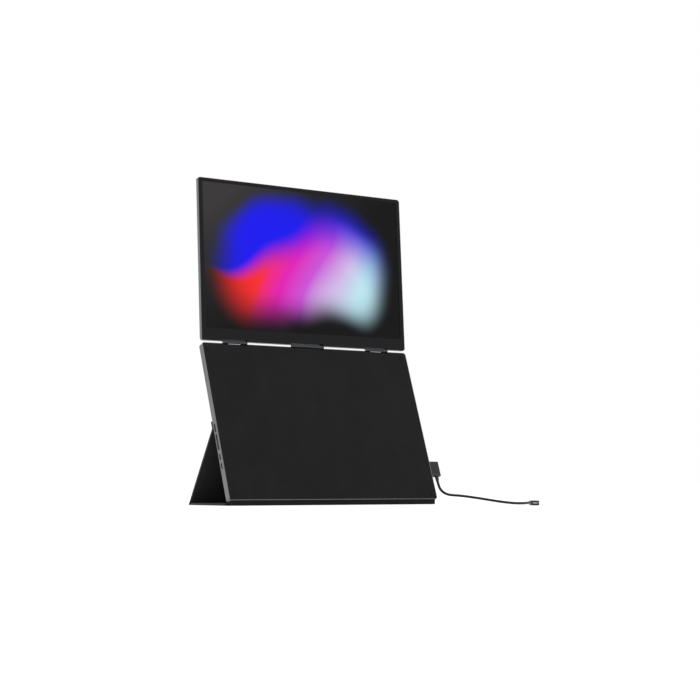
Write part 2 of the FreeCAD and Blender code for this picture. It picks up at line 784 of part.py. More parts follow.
def hinge_bracket(label, frame, axis, spans, towards, leaf, bore, screw_places):
    """A hinge leaf with its knuckles, its bore and its screw holes."""
    leaf_back = f"{axis.z} - leaf_drop"
    leaf_front = f"{leaf_back} + leaf_thickness"
    left, right, bottom, top = leaf
    pieces = knuckles(label, axis, spans, towards)
    pieces.append(block(label + "_leaf", left, right, bottom, top, leaf_back, leaf_front))
    for span_left, span_right in spans:
        low, high = sorted((axis.y, value(top if towards < 0 else bottom)))
        pieces.append(block(label + "_root", span_left, span_right, low, high, leaf_back, leaf_front))
    solid = combine("Part::MultiFuse", label + "_blank", pieces)
    beyond = Vector(value("knuckle_length"), 0, 0)
    bore_start = Vector(value(left), axis.y, axis.z) - beyond
    bore_end = Vector(value(right), axis.y, axis.z) + beyond
    cutters = [rod(label + "_bore", bore, bore_start, bore_end)]
    for x, y in screw_places:
        seat = Vector(value(x), value(y), value(f"{leaf_back} - leaf_thickness"))
        top_end = Vector(seat.x, seat.y, value(f"{leaf_front} + leaf_thickness"))
        cutters.append(rod(label + "_hole", "screw_radius + fit_gap", seat, top_end))
    tools = combine("Part::MultiFuse", label + "_tools", cutters) if screw_places else cutters[0]
    return keep(combine("Part::Cut", label + "_cut", [solid, tools]), label, frame)


def hinges():
    for side, middle in zip(("left", "right"), HINGES):
        ends = (f"{middle} - hinge_length / 2", f"{middle} + hinge_length / 2")
        outer = [(ends[0], f"{ends[0]} + knuckle_length"), (f"{ends[1]} - knuckle_length", ends[1])]
        inner_gap = "knuckle_length + moving_gap"
        inner = [(f"{ends[0]} + {inner_gap}", f"{ends[1]} - ({inner_gap})")]
        screw_columns = [f"{middle} {sign} leaf_screw_spacing / 2" for sign in ("-", "+")]
        base_leaf = (*ends, "panel_height - notch_depth - base_leaf_height", "panel_height")
        hinge_bracket(f"base_hinge_bracket_{side}", BASE, hinge_in_base, outer, -1, base_leaf,
                      "shaft_radius + shaft_press_gap", [(x, base_leaf_screw_row) for x in screw_columns])
        display_leaf = (*ends, "display_leaf_start", "display_leaf_height")
        hinge_bracket(f"display_hinge_bracket_{side}", DISPLAY, hinge_in_display, inner, 1, display_leaf,
                      "shaft_radius + shaft_clearance", [(x, display_leaf_screw_row) for x in screw_columns])
        start = Vector(value(ends[0]), hinge_in_base.y, hinge_in_base.z)
        end = Vector(value(ends[1]), start.y, start.z)
        keep(rod("shaft", "shaft_radius", start, end), f"hinge_shaft_{side}", BASE)


def cable_guard():
    """A hollow roll in the middle of the seam, with the display's cable inside it."""
    ends = ("-guard_length / 2", "guard_length / 2")
    leaf = (*ends, "panel_height - guard_leaf_height", "panel_height")
    hinge_bracket("cable_guard", BASE, hinge_in_base, [ends], -1, leaf, "knuckle_radius - guard_wall", [])
    start = Vector(value("cable_roll_inset - guard_length / 2"), hinge_in_base.y, hinge_in_base.z)
    keep(rod("roll", "cable_roll_radius", start, Vector(-start.x, start.y, start.z)), "display_cable", BASE)


def screws(label, frame, places, seat, grip):
    """Pan-head screws whose heads sit at one depth formula and whose shanks reach down by another."""
    pieces = []
    for x, y in places:
        top = Vector(value(x), value(y), value(seat))
        head = rod("head", "screw_head_radius", top, top + Vector(0, 0, value("screw_head_height")))
        shank = rod("shank", "screw_radius", top - Vector(0, 0, value(grip)), top)
        pieces.append(combine("Part::MultiFuse", "screw", [head, shank]))
    keep(combine("Part::Compound", label + "_group", pieces), label, frame)


speaker("speaker_left", -1)
speaker("speaker_right", 1)
slab_magnets()
power_button()
volume_rocker()
rocker_pin()
button_board()
hinges()
cable_guard()
screws("base_hinge_screws", BASE, leaf_screw_places(base_leaf_screw_row),
       f"{base_leaf_back} + leaf_thickness", "leaf_thickness + screw_length")
screws("board_screws", BASE, board_screw_places, board_front, "board_thickness + board_lift")


# Display

def display_rear_shell():
    body = tray("display_rear_shell", DISPLAY, "display_thickness", "display_back_wall", "display_side_wall",
                "display_rim", "bezel_thickness")
    cut_notches(body, "display", "display_thickness", *DISPLAY_SEAM)
    add_hinge_seats(body, "display_hinge", display_leaf_screw_row, "display_back_wall", display_leaf_back)


def display_bezel():
    edge = "(display_rim + fit_gap)"
    body = plate("display_bezel", DISPLAY, f"-panel_width / 2 + {edge}", f"panel_width / 2 - {edge}", edge,
                 f"panel_height - {edge}", "display_thickness - bezel_thickness", "display_thickness",
                 "corner_radius - display_rim")
    window = sketch_on(body, "window", offset="display_thickness")
    rectangle(window, "-active_width / 2", "active_width / 2", "active_bottom",
              "active_bottom + active_height")
    cut_away(body, window, "bezel_thickness")
    cut_notches(body, "bezel", "display_thickness", *DISPLAY_SEAM)


def display_layers():
    """The panel behind the bezel, its backlight, and the pads that press both forward."""
    left, right = "-active_width / 2 - lcd_border", "active_width / 2 + lcd_border"
    bottom, top = "active_bottom - lcd_border", "active_bottom + active_height + lcd_border"
    lcd_front = "display_thickness - bezel_thickness"
    lcd_back = f"{lcd_front} - lcd_thickness"
    backlight_back = f"{lcd_back} - backlight_thickness"
    plate("lcd_panel", DISPLAY, left, right, bottom, top, lcd_back, lcd_front)
    plate("backlight_unit", DISPLAY, left, right, bottom, top, backlight_back, lcd_back)
    pieces = []
    for x in ("-active_width / 3", "0", "active_width / 3"):
        for y in ("active_bottom + active_height / 6", "active_bottom + active_height * 5 / 6"):
            pieces.append(block("pad", f"{x} - pad_length / 2", f"{x} + pad_length / 2",
                                f"{y} - pad_width / 2", f"{y} + pad_width / 2", "display_back_wall",
                                backlight_back))
    keep(combine("Part::Compound", "pads", pieces), "panel_pads", DISPLAY)


def timing_board():
    """A narrow board behind the lower bezel, with two connectors."""
    front = "display_back_wall + board_thickness"
    top = "timing_board_bottom + timing_board_height"
    body = plate("timing_board", DISPLAY, "-timing_board_width / 2", "timing_board_width / 2",
                 "timing_board_bottom", top, "display_back_wall", front)
    plugs = sketch_on(body, "connectors", offset=front)
    middle = "timing_board_bottom + timing_board_height / 2"
    for x in ("-timing_board_width / 4", "timing_board_width / 4"):
        rectangle(plugs, f"{x} - connector_length / 2", f"{x} + connector_length / 2",
                  f"{middle} - connector_width / 2", f"{middle} + connector_width / 2")
    raise_solid(body, plugs, "connector_height")


display_rear_shell()
display_bezel()
display_layers()
timing_board()
screws("display_hinge_screws", DISPLAY, leaf_screw_places(display_leaf_screw_row),
       f"{display_leaf_back} + leaf_thickness", "leaf_thickness + screw_length")


# Folding stand

def stand_panel(label, frame, length, skin_start, board_start, board_end, bead):
    """A skin with a board on its inner side. The board stops short of both creases."""
    body = new_body(label, frame)
    inner, outer, board = "stand_skin / 2", "-stand_skin / 2", "stand_thickness - stand_skin / 2"
    section = sketch_on(body, label + "_section", "YZ_Plane", "-stand_width / 2")
    last = f"{length} - {board_end}"
    near_edge = [(board_start, board), (board_start, inner), (skin_start, inner), (skin_start, outer)]
    far_edge = [(length, outer), (length, board)]
    if bead:
        far_edge = [(length, outer), (length, inner), (last, inner), (last, board)]
    points = near_edge + far_edge
    outline(section, points)
    raise_solid(body, section, "stand_width")
    if bead:
        roll = sketch_on(body, label + "_bead", "YZ_Plane", "-stand_width / 2")
        circle(roll, length, "0", inner)
        raise_solid(body, roll, "stand_width")
    return body


def stand():
    stand_panel("stand_base_panel", STAND_BASE, "stand_base_length", "crease_relief", "stand_board_start",
                "foot_crease_relief", True)
    stand_panel("stand_back_panel", STAND_BACK, "stand_back_length", "crease_relief", "foot_crease_relief",
                "stand_skin / 2 + fit_gap", True)
    strip = stand_panel("stand_strip", STAND_STRIP, "stand_strip_length", "crease_relief",
                        "stand_skin / 2 + fit_gap", "0", False)
    middle = "(stand_strip_length + crease_relief) / 2"
    face = "stand_thickness - stand_skin / 2"
    pockets = sketch_on(strip, "magnet_pockets", offset=face)
    pieces = []
    bottom, top = f"{middle} - magnet_width / 2", f"{middle} + magnet_width / 2"
    for x in magnet_places():
        left, right = f"{x} - magnet_length / 2", f"{x} + magnet_length / 2"
        rectangle(pockets, f"{left} - fit_gap", f"{right} + fit_gap", f"{bottom} - fit_gap",
                  f"{top} + fit_gap")
        pieces.append(block("strip_magnet", left, right, bottom, top, f"{face} - magnet_thickness", face))
    cut_away(strip, pockets, "magnet_thickness")
    keep(combine("Part::Compound", "strip_magnet_row", pieces), "strip_magnets", STAND_STRIP)


stand()


# Link cable

def plug_grip(low, high, axis):
    """A plug's moulded grip: round along its length and chamfered at both ends."""
    box = Part.makeBox(high.x - low.x, high.y - low.y, high.z - low.z, low)
    along = [edge for edge in box.Edges if abs(edge.tangentAt(0).dot(axis)) > 0.9]
    grip = box.makeFillet(value("plug_edge_radius"), along)
    ends = [face for face in grip.Faces if abs(face.normalAt(0, 0).dot(axis)) > 0.9]
    rims = [edge for face in ends for edge in face.Edges]
    return grip.makeChamfer(value("plug_end_chamfer"), rims)


def as_feature(label, shape, frame):
    item = doc.addObject("Part::Feature", label + "_solid")
    item.Shape = shape
    return keep(item, label, frame)


def pill_bar(length, depth, run):
    """A bar along X from the origin, with a round-ended section: length along Y, depth along Z."""
    radius = depth / 2
    half = length / 2 - radius
    edges = [
        Part.makeLine(Vector(0, -half, -radius), Vector(0, half, -radius)),
        Part.Arc(Vector(0, half, -radius), Vector(0, half + radius, 0), Vector(0, half, radius)).toShape(),
        Part.makeLine(Vector(0, half, radius), Vector(0, -half, radius)),
        Part.Arc(Vector(0, -half, radius), Vector(0, -half - radius, 0), Vector(0, -half, -radius)).toShape(),
    ]
    return Part.Face(Part.Wire(edges)).extrude(Vector(run, 0, 0))


def plug_tongue():
    """The hollow metal tongue of a plug, along X from its root at the origin."""
    wall = value("socket_wall")
    length, depth, reach = value("tongue_length"), value("tongue_depth"), value("tongue_reach")
    bar = pill_bar(length, depth, reach)
    hollow = pill_bar(length - 2 * wall, depth - 2 * wall, reach)
    hollow.translate(Vector(value("tongue_root"), 0, 0))
    return bar.cut(hollow)


plug_start = Vector(value("panel_width / 2 + fit_gap"), value("right_port_height"), value(port_middle))
plug_cable_x = value("panel_width / 2 + plug_cable_offset")
relief_tip = value("right_port_height + plug_port_drop - plug_height - relief_length")
cable_exit_local = Vector(plug_cable_x, relief_tip, plug_start.z)
cable_exit = BASE.multVec(cable_exit_local)

# The cable's route, chosen by hand: from the relief down beside the slab, forward and out,
# then over the table to the far plug.
down_slab = BASE.Rotation.multVec(Vector(0, -1, 0))
CABLE_ROUTE = [
    cable_exit,
    cable_exit + down_slab * 9.3,
    Vector(194.3, 1.8, 17.9),
    Vector(200.1, -4.8, 13.5),
    Vector(213.6, -16.7, 12.6),
    Vector(231.0, -38.0, 9.0),
    Vector(243.5, -66.0, 4.6),
    Vector(247.0, -97.0, 1.95),
    Vector(243.0, -128.0, 1.95),
    Vector(232.5, -155.0, 3.4),
    Vector(217.5, -178.0, 3.4),
]


# The share of a run that each bend takes
BEND_SHARE = 0.45


def corner_radius(before, corner, after):
    """The largest arc at a corner: its share of the shorter run over the tangent of half the turn."""
    into, away = corner - before, after - corner
    shorter = min(into.Length, away.Length)
    return BEND_SHARE * shorter / math.tan(into.getAngle(away) / 2)


def cable_tube(route, radius):
    """A tube of straight runs joined by tangent arcs."""
    edges = []
    start = route[0]
    radii = []
    for before, corner, after in zip(route, route[1:], route[2:]):
        bend = corner_radius(before, corner, after)
        radii.append(round(bend, 1))
        into, away = (corner - before).normalize(), (after - corner).normalize()
        setback = bend * math.tan(into.getAngle(away) / 2)
        enter, leave = corner - into * setback, corner + away * setback
        inward = (away - into).normalize()
        centre_distance = bend / math.cos(into.getAngle(away) / 2)
        middle = corner + inward * (centre_distance - bend)
        edges.append(Part.makeLine(start, enter))
        edges.append(Part.Arc(enter, middle, leave).toShape())
        start = leave
    edges.append(Part.makeLine(start, route[-1]))
    path = Part.Wire(edges)
    ring = Part.Wire([Part.makeCircle(radius, route[0], route[1] - route[0])])
    tube = path.makePipeShell([ring], True, False)
    expected = math.pi * radius ** 2 * path.Length
    print("cable length", round(path.Length, 1), "bend radii", radii)
    print("cable volume over section times length", round(tube.Volume / expected, 4))
    return tube


def link_cable():
    reach, drop, height = value("plug_reach"), value("plug_port_drop"), value("plug_height")
    half_depth = value("plug_depth / 2")
    top = plug_start.y + drop
    shell = plug_grip(Vector(plug_start.x, top - height, plug_start.z - half_depth),
                      Vector(plug_start.x + reach, top, plug_start.z + half_depth), Vector(0, 1, 0))
    relief_start = Vector(plug_cable_x, top - height, plug_start.z)
    wide, narrow = value("relief_radius"), value("cable_radius + relief_lip")
    relief_length = value("relief_length")
    relief = Part.makeCone(wide, narrow, relief_length, relief_start, Vector(0, -1, 0))
    as_feature("angled_plug", shell.fuse(relief), BASE)
    tongue = plug_tongue()
    tongue.rotate(Vector(), Vector(0, 0, 1), 180)
    tongue.translate(plug_start)
    as_feature("angled_plug_tongue", tongue, BASE)
    as_feature("link_cable", cable_tube(CABLE_ROUTE, value("cable_radius")), WORLD)
    heading = CABLE_ROUTE[-1] - CABLE_ROUTE[-2]
    turn = Rotation(Vector(1, 0, 0), heading)
    plug_length = value("end_plug_length")
    half_width = value("end_plug_width / 2")
    end = Placement(CABLE_ROUTE[-1], turn)
    grip = plug_grip(Vector(relief_length, -half_width, -half_depth),
                     Vector(relief_length + plug_length, half_width, half_depth), Vector(1, 0, 0))
    collar = Part.makeCone(narrow, wide, relief_length, Vector(), Vector(1, 0, 0))
    as_feature("straight_plug", grip.fuse(collar), end)
    tip = plug_tongue()
    tip.translate(Vector(relief_length + plug_length, 0, 0))
    as_feature("straight_plug_tongue", tip, end)


link_cable()

# Checks, then the files

doc.recompute()
for item in doc.Objects:
    if "Invalid" in item.State or "Error" in item.State:
        raise RuntimeError(f"{item.Name} failed: {item.State}")
for item in nodes:
    if item.Shape.isNull() or not item.Shape.isValid():
        raise RuntimeError(f"{item.Label} has no valid shape")

os.makedirs("parts", exist_ok=True)
for item in nodes:
    item.Shape.exportStep(os.path.join("parts", item.Label + ".step"))
print(len(nodes), "sub-parts")
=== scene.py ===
# %% [markdown]
# A screen extender is two flat panels on one hinge line: a lit display above and a slab of
# electronics below it, which leans on a folding stand behind a laptop. The imported frame holds
# every rigid piece at its real size, so it is loaded first and nothing in it is moved.

# %% Load the imported frame
import json
import math

import bpy
from mathutils import Matrix, Vector


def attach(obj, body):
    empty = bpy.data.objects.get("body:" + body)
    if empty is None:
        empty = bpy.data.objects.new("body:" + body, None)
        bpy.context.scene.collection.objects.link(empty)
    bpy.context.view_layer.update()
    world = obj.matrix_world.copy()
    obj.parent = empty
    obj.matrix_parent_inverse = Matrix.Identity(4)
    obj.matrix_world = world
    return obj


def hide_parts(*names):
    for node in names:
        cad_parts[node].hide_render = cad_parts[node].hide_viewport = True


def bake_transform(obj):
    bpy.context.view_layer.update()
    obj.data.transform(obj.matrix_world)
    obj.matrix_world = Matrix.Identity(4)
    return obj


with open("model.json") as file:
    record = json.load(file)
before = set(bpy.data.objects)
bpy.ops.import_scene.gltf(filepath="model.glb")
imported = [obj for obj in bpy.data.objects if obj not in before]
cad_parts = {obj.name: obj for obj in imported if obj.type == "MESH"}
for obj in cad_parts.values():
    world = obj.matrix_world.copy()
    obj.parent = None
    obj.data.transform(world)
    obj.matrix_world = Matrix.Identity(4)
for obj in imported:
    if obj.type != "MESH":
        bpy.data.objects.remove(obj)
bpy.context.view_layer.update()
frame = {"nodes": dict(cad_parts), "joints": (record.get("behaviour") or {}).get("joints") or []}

MM = 0.001
scene = bpy.context.scene
nodes = frame["nodes"]

# %% [markdown]
# The camera could be placed by eye and moved until the outline fits. Here its place and lens
# were worked out from the corners of the display and the slab, so they are only written down.
# It stands low, three centimetres over the table, to the left of the object and turned to it.

# %% Place the camera
CAMERA_PLACE = (-1.34396, -2.0147, 0.02894)
CAMERA_TURN = (94.60, 0.0, -34.18)
CAMERA_LENS = 86.11

camera_data = bpy.data.cameras.new("camera")
camera_data.lens = CAMERA_LENS
camera_data.sensor_width = 36.0
camera_data.clip_end = 300.0
camera = bpy.data.objects.new("camera", camera_data)
camera.location = CAMERA_PLACE
camera.rotation_euler = [math.radians(angle) for angle in CAMERA_TURN]
scene.collection.objects.link(camera)
scene.camera = camera
scene.view_settings.view_transform = "Standard"
print("camera lens", camera_data.lens)

# %% [markdown]
# The link cable leaves its angled plug downwards, bends out and forwards, and then lies on the
# table as far as its straight plug. A mesh tube would need a ring at every step. A NURBS curve
# through a few control points bends evenly, as a cable does, and keeps its round section.

# %% Lay the link cable
CABLE_ROUTE = [
    (0.1912, 0.010294, 0.033863),
    (0.1912, 0.007113, 0.025124),
    (0.1943, 0.0018, 0.0179),
    (0.2001, -0.0048, 0.0135),
    (0.2136, -0.0167, 0.0126),
    (0.2310, -0.0380, 0.0090),
    (0.2435, -0.0660, 0.0046),
    (0.2470, -0.0970, 0.00195),
    (0.2430, -0.1280, 0.00195),
    (0.2325, -0.1550, 0.0034),
    (0.2175, -0.1780, 0.0034),
]
CABLE_RADIUS = 1.9 * MM

cable_curve = bpy.data.curves.new("link_cord", "CURVE")
cable_curve.dimensions = "3D"
cable_curve.bevel_depth = CABLE_RADIUS
cable_curve.bevel_resolution = 6
cable_curve.resolution_u = 16
cable_curve.use_fill_caps = True
strand = cable_curve.splines.new("NURBS")
strand.points.add(len(CABLE_ROUTE) - 1)
for point, place in zip(strand.points, CABLE_ROUTE):
    point.co = (*place, 1.0)
strand.order_u = 3
strand.use_endpoint_u = True
link_cord = bpy.data.objects.new("link_cord", cable_curve)
scene.collection.objects.link(link_cord)
print("cable of", len(CABLE_ROUTE), "points")

# %% [markdown]
# Each flat piece is drawn as it lies on its back, X to the right, Y up the panel and Z towards
# its front, and is then stood up. Two matrices do that here, one for each panel, with the same
# angles and hinge line as the frame. Pieces on a panel can then be measured from its edges.

# %% Stand the panels up
BASE_LEAN, DISPLAY_LEAN = 70.0, 86.5
HINGE_LINE = Vector((0.0, 76.8132, 233.8741)) * MM
HINGE_ON_BASE = Vector((0.0, 240.5, 10.9)) * MM
HINGE_ON_DISPLAY = Vector((0.0, -1.5, 7.0)) * MM


def lean(angle):
    return Matrix.Rotation(math.radians(angle), 4, "X")


def panel_frame(angle, hinge_on_panel):
    """The frame of a panel that leans by an angle and meets the hinge line."""
    turn = lean(angle)
    return Matrix.Translation(HINGE_LINE - turn @ hinge_on_panel) @ turn


BASE = panel_frame(BASE_LEAN, HINGE_ON_BASE)
DISPLAY = panel_frame(DISPLAY_LEAN, HINGE_ON_DISPLAY)
print("slab foot at", [round(x / MM, 2) for x in BASE.translation])

# %% [markdown]
# The operators act on all that is selected, so a few helpers keep the selection clean. They
# pick a piece or some of its edges, apply a modifier, repeat or join pieces, and write a piece's
# place into its mesh, because a pattern on object coordinates has to stay where it is.

# %% Helpers for the operators
def focus(piece):
    bpy.ops.object.select_all(action="DESELECT")
    piece.select_set(True)
    bpy.context.view_layer.objects.active = piece


def edit(piece):
    focus(piece)
    bpy.ops.object.mode_set(mode="EDIT")


def leave_edit():
    bpy.ops.object.mode_set(mode="OBJECT")


def apply_modifier(piece, kind, **settings):
    focus(piece)
    modifier = piece.modifiers.new(kind.lower(), kind)
    for key, setting in settings.items():
        setattr(modifier, key, setting)
    bpy.ops.object.modifier_apply(modifier=modifier.name)


def settle(piece, place=Matrix.Identity(4)):
    """Moves a piece by a frame and writes that into its mesh."""
    piece.matrix_world = place @ piece.matrix_world
    focus(piece)
    bpy.ops.object.transform_apply(location=True, rotation=True, scale=True)


def smooth(piece, angle=35.0):
    focus(piece)
    bpy.ops.object.shade_smooth_by_angle(angle=math.radians(angle))


def select_edges(piece, wanted, among=None):
    """In edit mode, selects and counts the edges that a test on their two ends picks out."""
    bpy.ops.mesh.select_mode(type="EDGE")
    bpy.ops.mesh.select_all(action="DESELECT")
    leave_edit()
    mesh = piece.data
    picked = 0
    for edge in mesh.edges:
        ends = [mesh.vertices[index].co for index in edge.vertices]
        edge.select = (among is None or edge.key in among) and wanted(*ends)
        picked += edge.select
    bpy.ops.object.mode_set(mode="EDIT")
    return picked


def bevel(width, steps):
    """In edit mode, bevels the selected edges."""
    bpy.ops.mesh.bevel(offset=width, segments=steps, affect="EDGES")


def repeat(piece, count, step):
    """Repeats a piece in a row, each copy one step on from the last."""
    apply_modifier(piece, "ARRAY", count=count, use_relative_offset=False,
                   use_constant_offset=True, constant_offset_displace=step)


def join(pieces):
    """Makes one piece of several and keeps the first one's name."""
    bpy.ops.object.select_all(action="DESELECT")
    for piece in pieces:
        piece.select_set(True)
    bpy.context.view_layer.objects.active = pieces[0]
    bpy.ops.object.join()
    return pieces[0]


def new_box(name, low, high):
    """A box between two corners in millimetres, as a start for a piece."""
    low, high = Vector(low) * MM, Vector(high) * MM
    bpy.ops.object.select_all(action="DESELECT")
    middle, extent = (low + high) / 2, high - low
    bpy.ops.mesh.primitive_cube_add(size=1.0, location=middle, scale=extent)
    piece = bpy.context.active_object
    piece.name = name
    settle(piece)
    return piece


def finish_piece(piece, body, material, replaced=()):
    """Gives a piece its material, its body and the nodes that it stands for."""
    piece.data.materials.clear()
    piece.data.materials.append(material)
    if body:
        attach(piece, body)
    if replaced:
        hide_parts(*replaced)
    return piece


print("helpers ready")

# %% [markdown]
# Materials come before the pieces. Colours are read from the object as screen values, so one
# helper turns them into the linear values that a shader wants. Every finish starts from one
# Principled shader, reads object coordinates, and adds its own grain, tone and bump.

# %% Helpers for the finishes
def screen_colour(red, green, blue):
    """A colour seen on a screen, 0 to 255, as the shader's linear values."""
    def linear(part):
        part /= 255.0
        return part / 12.92 if part <= 0.04045 else ((part + 0.055) / 1.055) ** 2.4

    return (linear(red), linear(green), linear(blue), 1.0)


def new_finish(name, roughness, metallic=0.0, specular=0.5):
    material = bpy.data.materials.new(name)
    material.use_nodes = True
    tree = material.node_tree
    shader = tree.nodes["Principled BSDF"]
    shader.inputs["Roughness"].default_value = roughness
    shader.inputs["Metallic"].default_value = metallic
    shader.inputs["Specular IOR Level"].default_value = specular
    place = tree.nodes.new("ShaderNodeTexCoord").outputs["Object"]
    return material, tree, shader, place


NOISE_ROUGHNESS = 0.55


def noise(tree, place, scale, detail=4.0):
    """A noise whose scale is in cells a metre."""
    node = tree.nodes.new("ShaderNodeTexNoise")
    node.inputs["Scale"].default_value = scale
    node.inputs["Detail"].default_value = detail
    node.inputs["Roughness"].default_value = NOISE_ROUGHNESS
    tree.links.new(place, node.inputs["Vector"])
    return node.outputs["Fac"]


def stretched(tree, place, scale, turn=(0.0, 0.0, 0.0)):
    """The same coordinates, scaled and turned by a Mapping node."""
    node = tree.nodes.new("ShaderNodeMapping")
    node.inputs["Scale"].default_value = scale
    node.inputs["Rotation"].default_value = [math.radians(angle) for angle in turn]
    tree.links.new(place, node.inputs["Vector"])
    return node.outputs["Vector"]


def ramp(tree, factor, stops):
    """A colour ramp from (position, colour) stops."""
    node = tree.nodes.new("ShaderNodeValToRGB")
    elements = node.color_ramp.elements
    while len(elements) < len(stops):
        elements.new(0.5)
    for element, (position, colour) in zip(elements, stops):
        element.position = position
        element.color = colour
    tree.links.new(factor, node.inputs["Fac"])
    return node.outputs["Color"]


def spread(tree, factor, low, high):
    """A factor of 0 to 1 spread over another range, for a roughness."""
    node = tree.nodes.new("ShaderNodeMapRange")
    node.inputs["To Min"].default_value = low
    node.inputs["To Max"].default_value = high
    tree.links.new(factor, node.inputs["Value"])
    return node.outputs["Result"]


def tone(tree, shader, factor, stops):
    """A base colour that changes with a factor."""
    tree.links.new(ramp(tree, factor, stops), shader.inputs["Base Color"])


def dullness(tree, shader, factor, low, high):
    """A roughness that changes with a factor."""
    tree.links.new(spread(tree, factor, low, high), shader.inputs["Roughness"])


def bump(tree, shader, factor, strength, distance):
    """Small relief, added to what the shader already has; its distance is in metres."""
    node = tree.nodes.new("ShaderNodeBump")
    node.inputs["Strength"].default_value = strength
    node.inputs["Distance"].default_value = distance
    tree.links.new(factor, node.inputs["Height"])
    earlier = shader.inputs["Normal"].links
    if earlier:
        tree.links.new(earlier[0].from_socket, node.inputs["Normal"])
    tree.links.new(node.outputs["Normal"], shader.inputs["Normal"])


print("finish helpers ready")

# %% [markdown]
# The shells are aluminium, blasted with fine beads and anodised grey. Polished metal would
# mirror the room, and a plain grey would look like card. A metallic shader with a fine even
# grain in its bump and slow clouds in its tone and roughness gives the silky, dusty look.

# %% Blasted and brushed metals
def blasted_metal(name, dark, light, roughness):
    material, tree, shader, place = new_finish(name, roughness, metallic=0.85)
    clouds = noise(tree, place, 60.0)
    tone(tree, shader, clouds, [(0.3, dark), (0.7, light)])
    grain = noise(tree, place, 2600.0, detail=2.0)
    bump(tree, shader, grain, 0.25, 0.00006)
    dullness(tree, shader, clouds, roughness - 0.02, roughness + 0.03)
    return material


def brushed_metal(name, dark, light, roughness):
    """Fine lines along X, as on rolled or drawn steel."""
    material, tree, shader, place = new_finish(name, roughness, metallic=1.0)
    lines = noise(tree, stretched(tree, place, (40.0, 2400.0, 2400.0)), 1.0, detail=3.0)
    tone(tree, shader, lines, [(0.3, dark), (0.7, light)])
    dullness(tree, shader, lines, roughness - 0.08, roughness + 0.1)
    bump(tree, shader, lines, 0.2, 0.00004)
    return material


grey_shell = blasted_metal(
    "grey_shell", screen_colour(118, 119, 121), screen_colour(123, 124, 126), 0.42)
socket_steel = brushed_metal(
    "socket_steel", screen_colour(120, 121, 124), screen_colour(176, 178, 182), 0.28)
steel = brushed_metal(
    "steel", screen_colour(110, 110, 112), screen_colour(168, 168, 170), 0.3)
hinge_steel = brushed_metal(
    "hinge_steel", screen_colour(52, 53, 55), screen_colour(84, 85, 88), 0.36)
magnet = brushed_metal(
    "magnet", screen_colour(130, 130, 134), screen_colour(168, 168, 174), 0.25)
print("metals ready")

# %% [markdown]
# The dark pieces are not one black. The bezel and the buttons are smooth moulded plastic, the
# slab's front cover has a soft-touch coat, the foot and bumpers are rubber, and the plugs and
# the cable jacket are soft vinyl. They differ in grain size, tone and how dull they are.

# %% Moulded plastics and rubber
def moulded(name, colour, lighter, roughness, grain, depth, specular=0.25):
    """Plastic with a spark-eroded grain, in cells a metre, of a depth in metres."""
    material, tree, shader, place = new_finish(name, roughness, specular=specular)
    clouds = noise(tree, place, 25.0)
    tone(tree, shader, clouds, [(0.35, colour), (0.68, lighter)])
    cells = tree.nodes.new("ShaderNodeTexVoronoi")
    cells.inputs["Scale"].default_value = grain
    tree.links.new(place, cells.inputs["Vector"])
    bump(tree, shader, cells.outputs["Distance"], 0.35, depth)
    bump(tree, shader, noise(tree, place, grain * 0.6), 0.2, depth)
    dullness(tree, shader, clouds, roughness - 0.06, roughness + 0.08)
    return material


def dark(level):
    """A near black, a trace cooler than grey."""
    return screen_colour(level, level, level + 1)


bezel_black = moulded("bezel_black", dark(27), dark(30), 0.38, 2200.0, 0.00003, 0.1)
black_cover = moulded("black_cover", dark(24), dark(29), 0.55, 1500.0, 0.00005, 0.1)
button_black = moulded("button_black", dark(24), dark(29), 0.45, 2400.0, 0.00003, 0.15)
black_plastic = moulded("black_plastic", dark(22), dark(28), 0.55, 1800.0, 0.00004, 0.15)
plug_plastic = moulded("plug_plastic", dark(52), dark(60), 0.5, 2000.0, 0.00004)
cable_jacket = moulded("cable_jacket", dark(14), dark(20), 0.5, 2400.0, 0.00003)
rubber = moulded("rubber", dark(24), dark(32), 0.75, 1300.0, 0.00008, 0.12)
backlight_white = moulded(
    "backlight_white", screen_colour(228, 230, 233), screen_colour(238, 239, 241),
    0.5, 900.0, 0.00003)
print("plastics ready")

# %% [markdown]
# The boards inside show only where a port or a gap lets the eye in, and when the parts are laid
# out one by one. Tracks could be modelled, but they are thinner than a hair. A brick pattern
# for the tracks and pads over green lacquer is enough, and the ribbon gets lines along it.

# %% Board and ribbon
def board_lacquer(name):
    material, tree, shader, place = new_finish(name, 0.35, specular=0.5)
    tracks = tree.nodes.new("ShaderNodeTexBrick")
    tracks.inputs["Scale"].default_value = 160.0
    tracks.inputs["Mortar Size"].default_value = 0.06
    tracks.inputs["Color1"].default_value = screen_colour(14, 58, 40)
    tracks.inputs["Color2"].default_value = screen_colour(18, 70, 48)
    tracks.inputs["Mortar"].default_value = screen_colour(58, 96, 60)
    in_board = stretched(tree, place, (1.0, 1.0, 1.0), turn=(BASE_LEAN, 0.0, 0.0))
    tree.links.new(in_board, tracks.inputs["Vector"])
    tree.links.new(tracks.outputs["Color"], shader.inputs["Base Color"])
    bump(tree, shader, tracks.outputs["Fac"], 0.4, 0.00005)
    return material


def ribbon_film(name):
    material, tree, shader, place = new_finish(name, 0.4, specular=0.4)
    lines = tree.nodes.new("ShaderNodeTexWave")
    lines.bands_direction = "Z"
    lines.inputs["Scale"].default_value = 260.0
    tree.links.new(place, lines.inputs["Vector"])
    copper = [(0.35, screen_colour(150, 84, 30)), (0.65, screen_colour(186, 116, 52))]
    tone(tree, shader, lines.outputs["Fac"], copper)
    bump(tree, shader, lines.outputs["Fac"], 0.3, 0.00004)
    return material


circuit_board = board_lacquer("circuit_board")
ribbon = ribbon_film("ribbon")
print("boards ready")

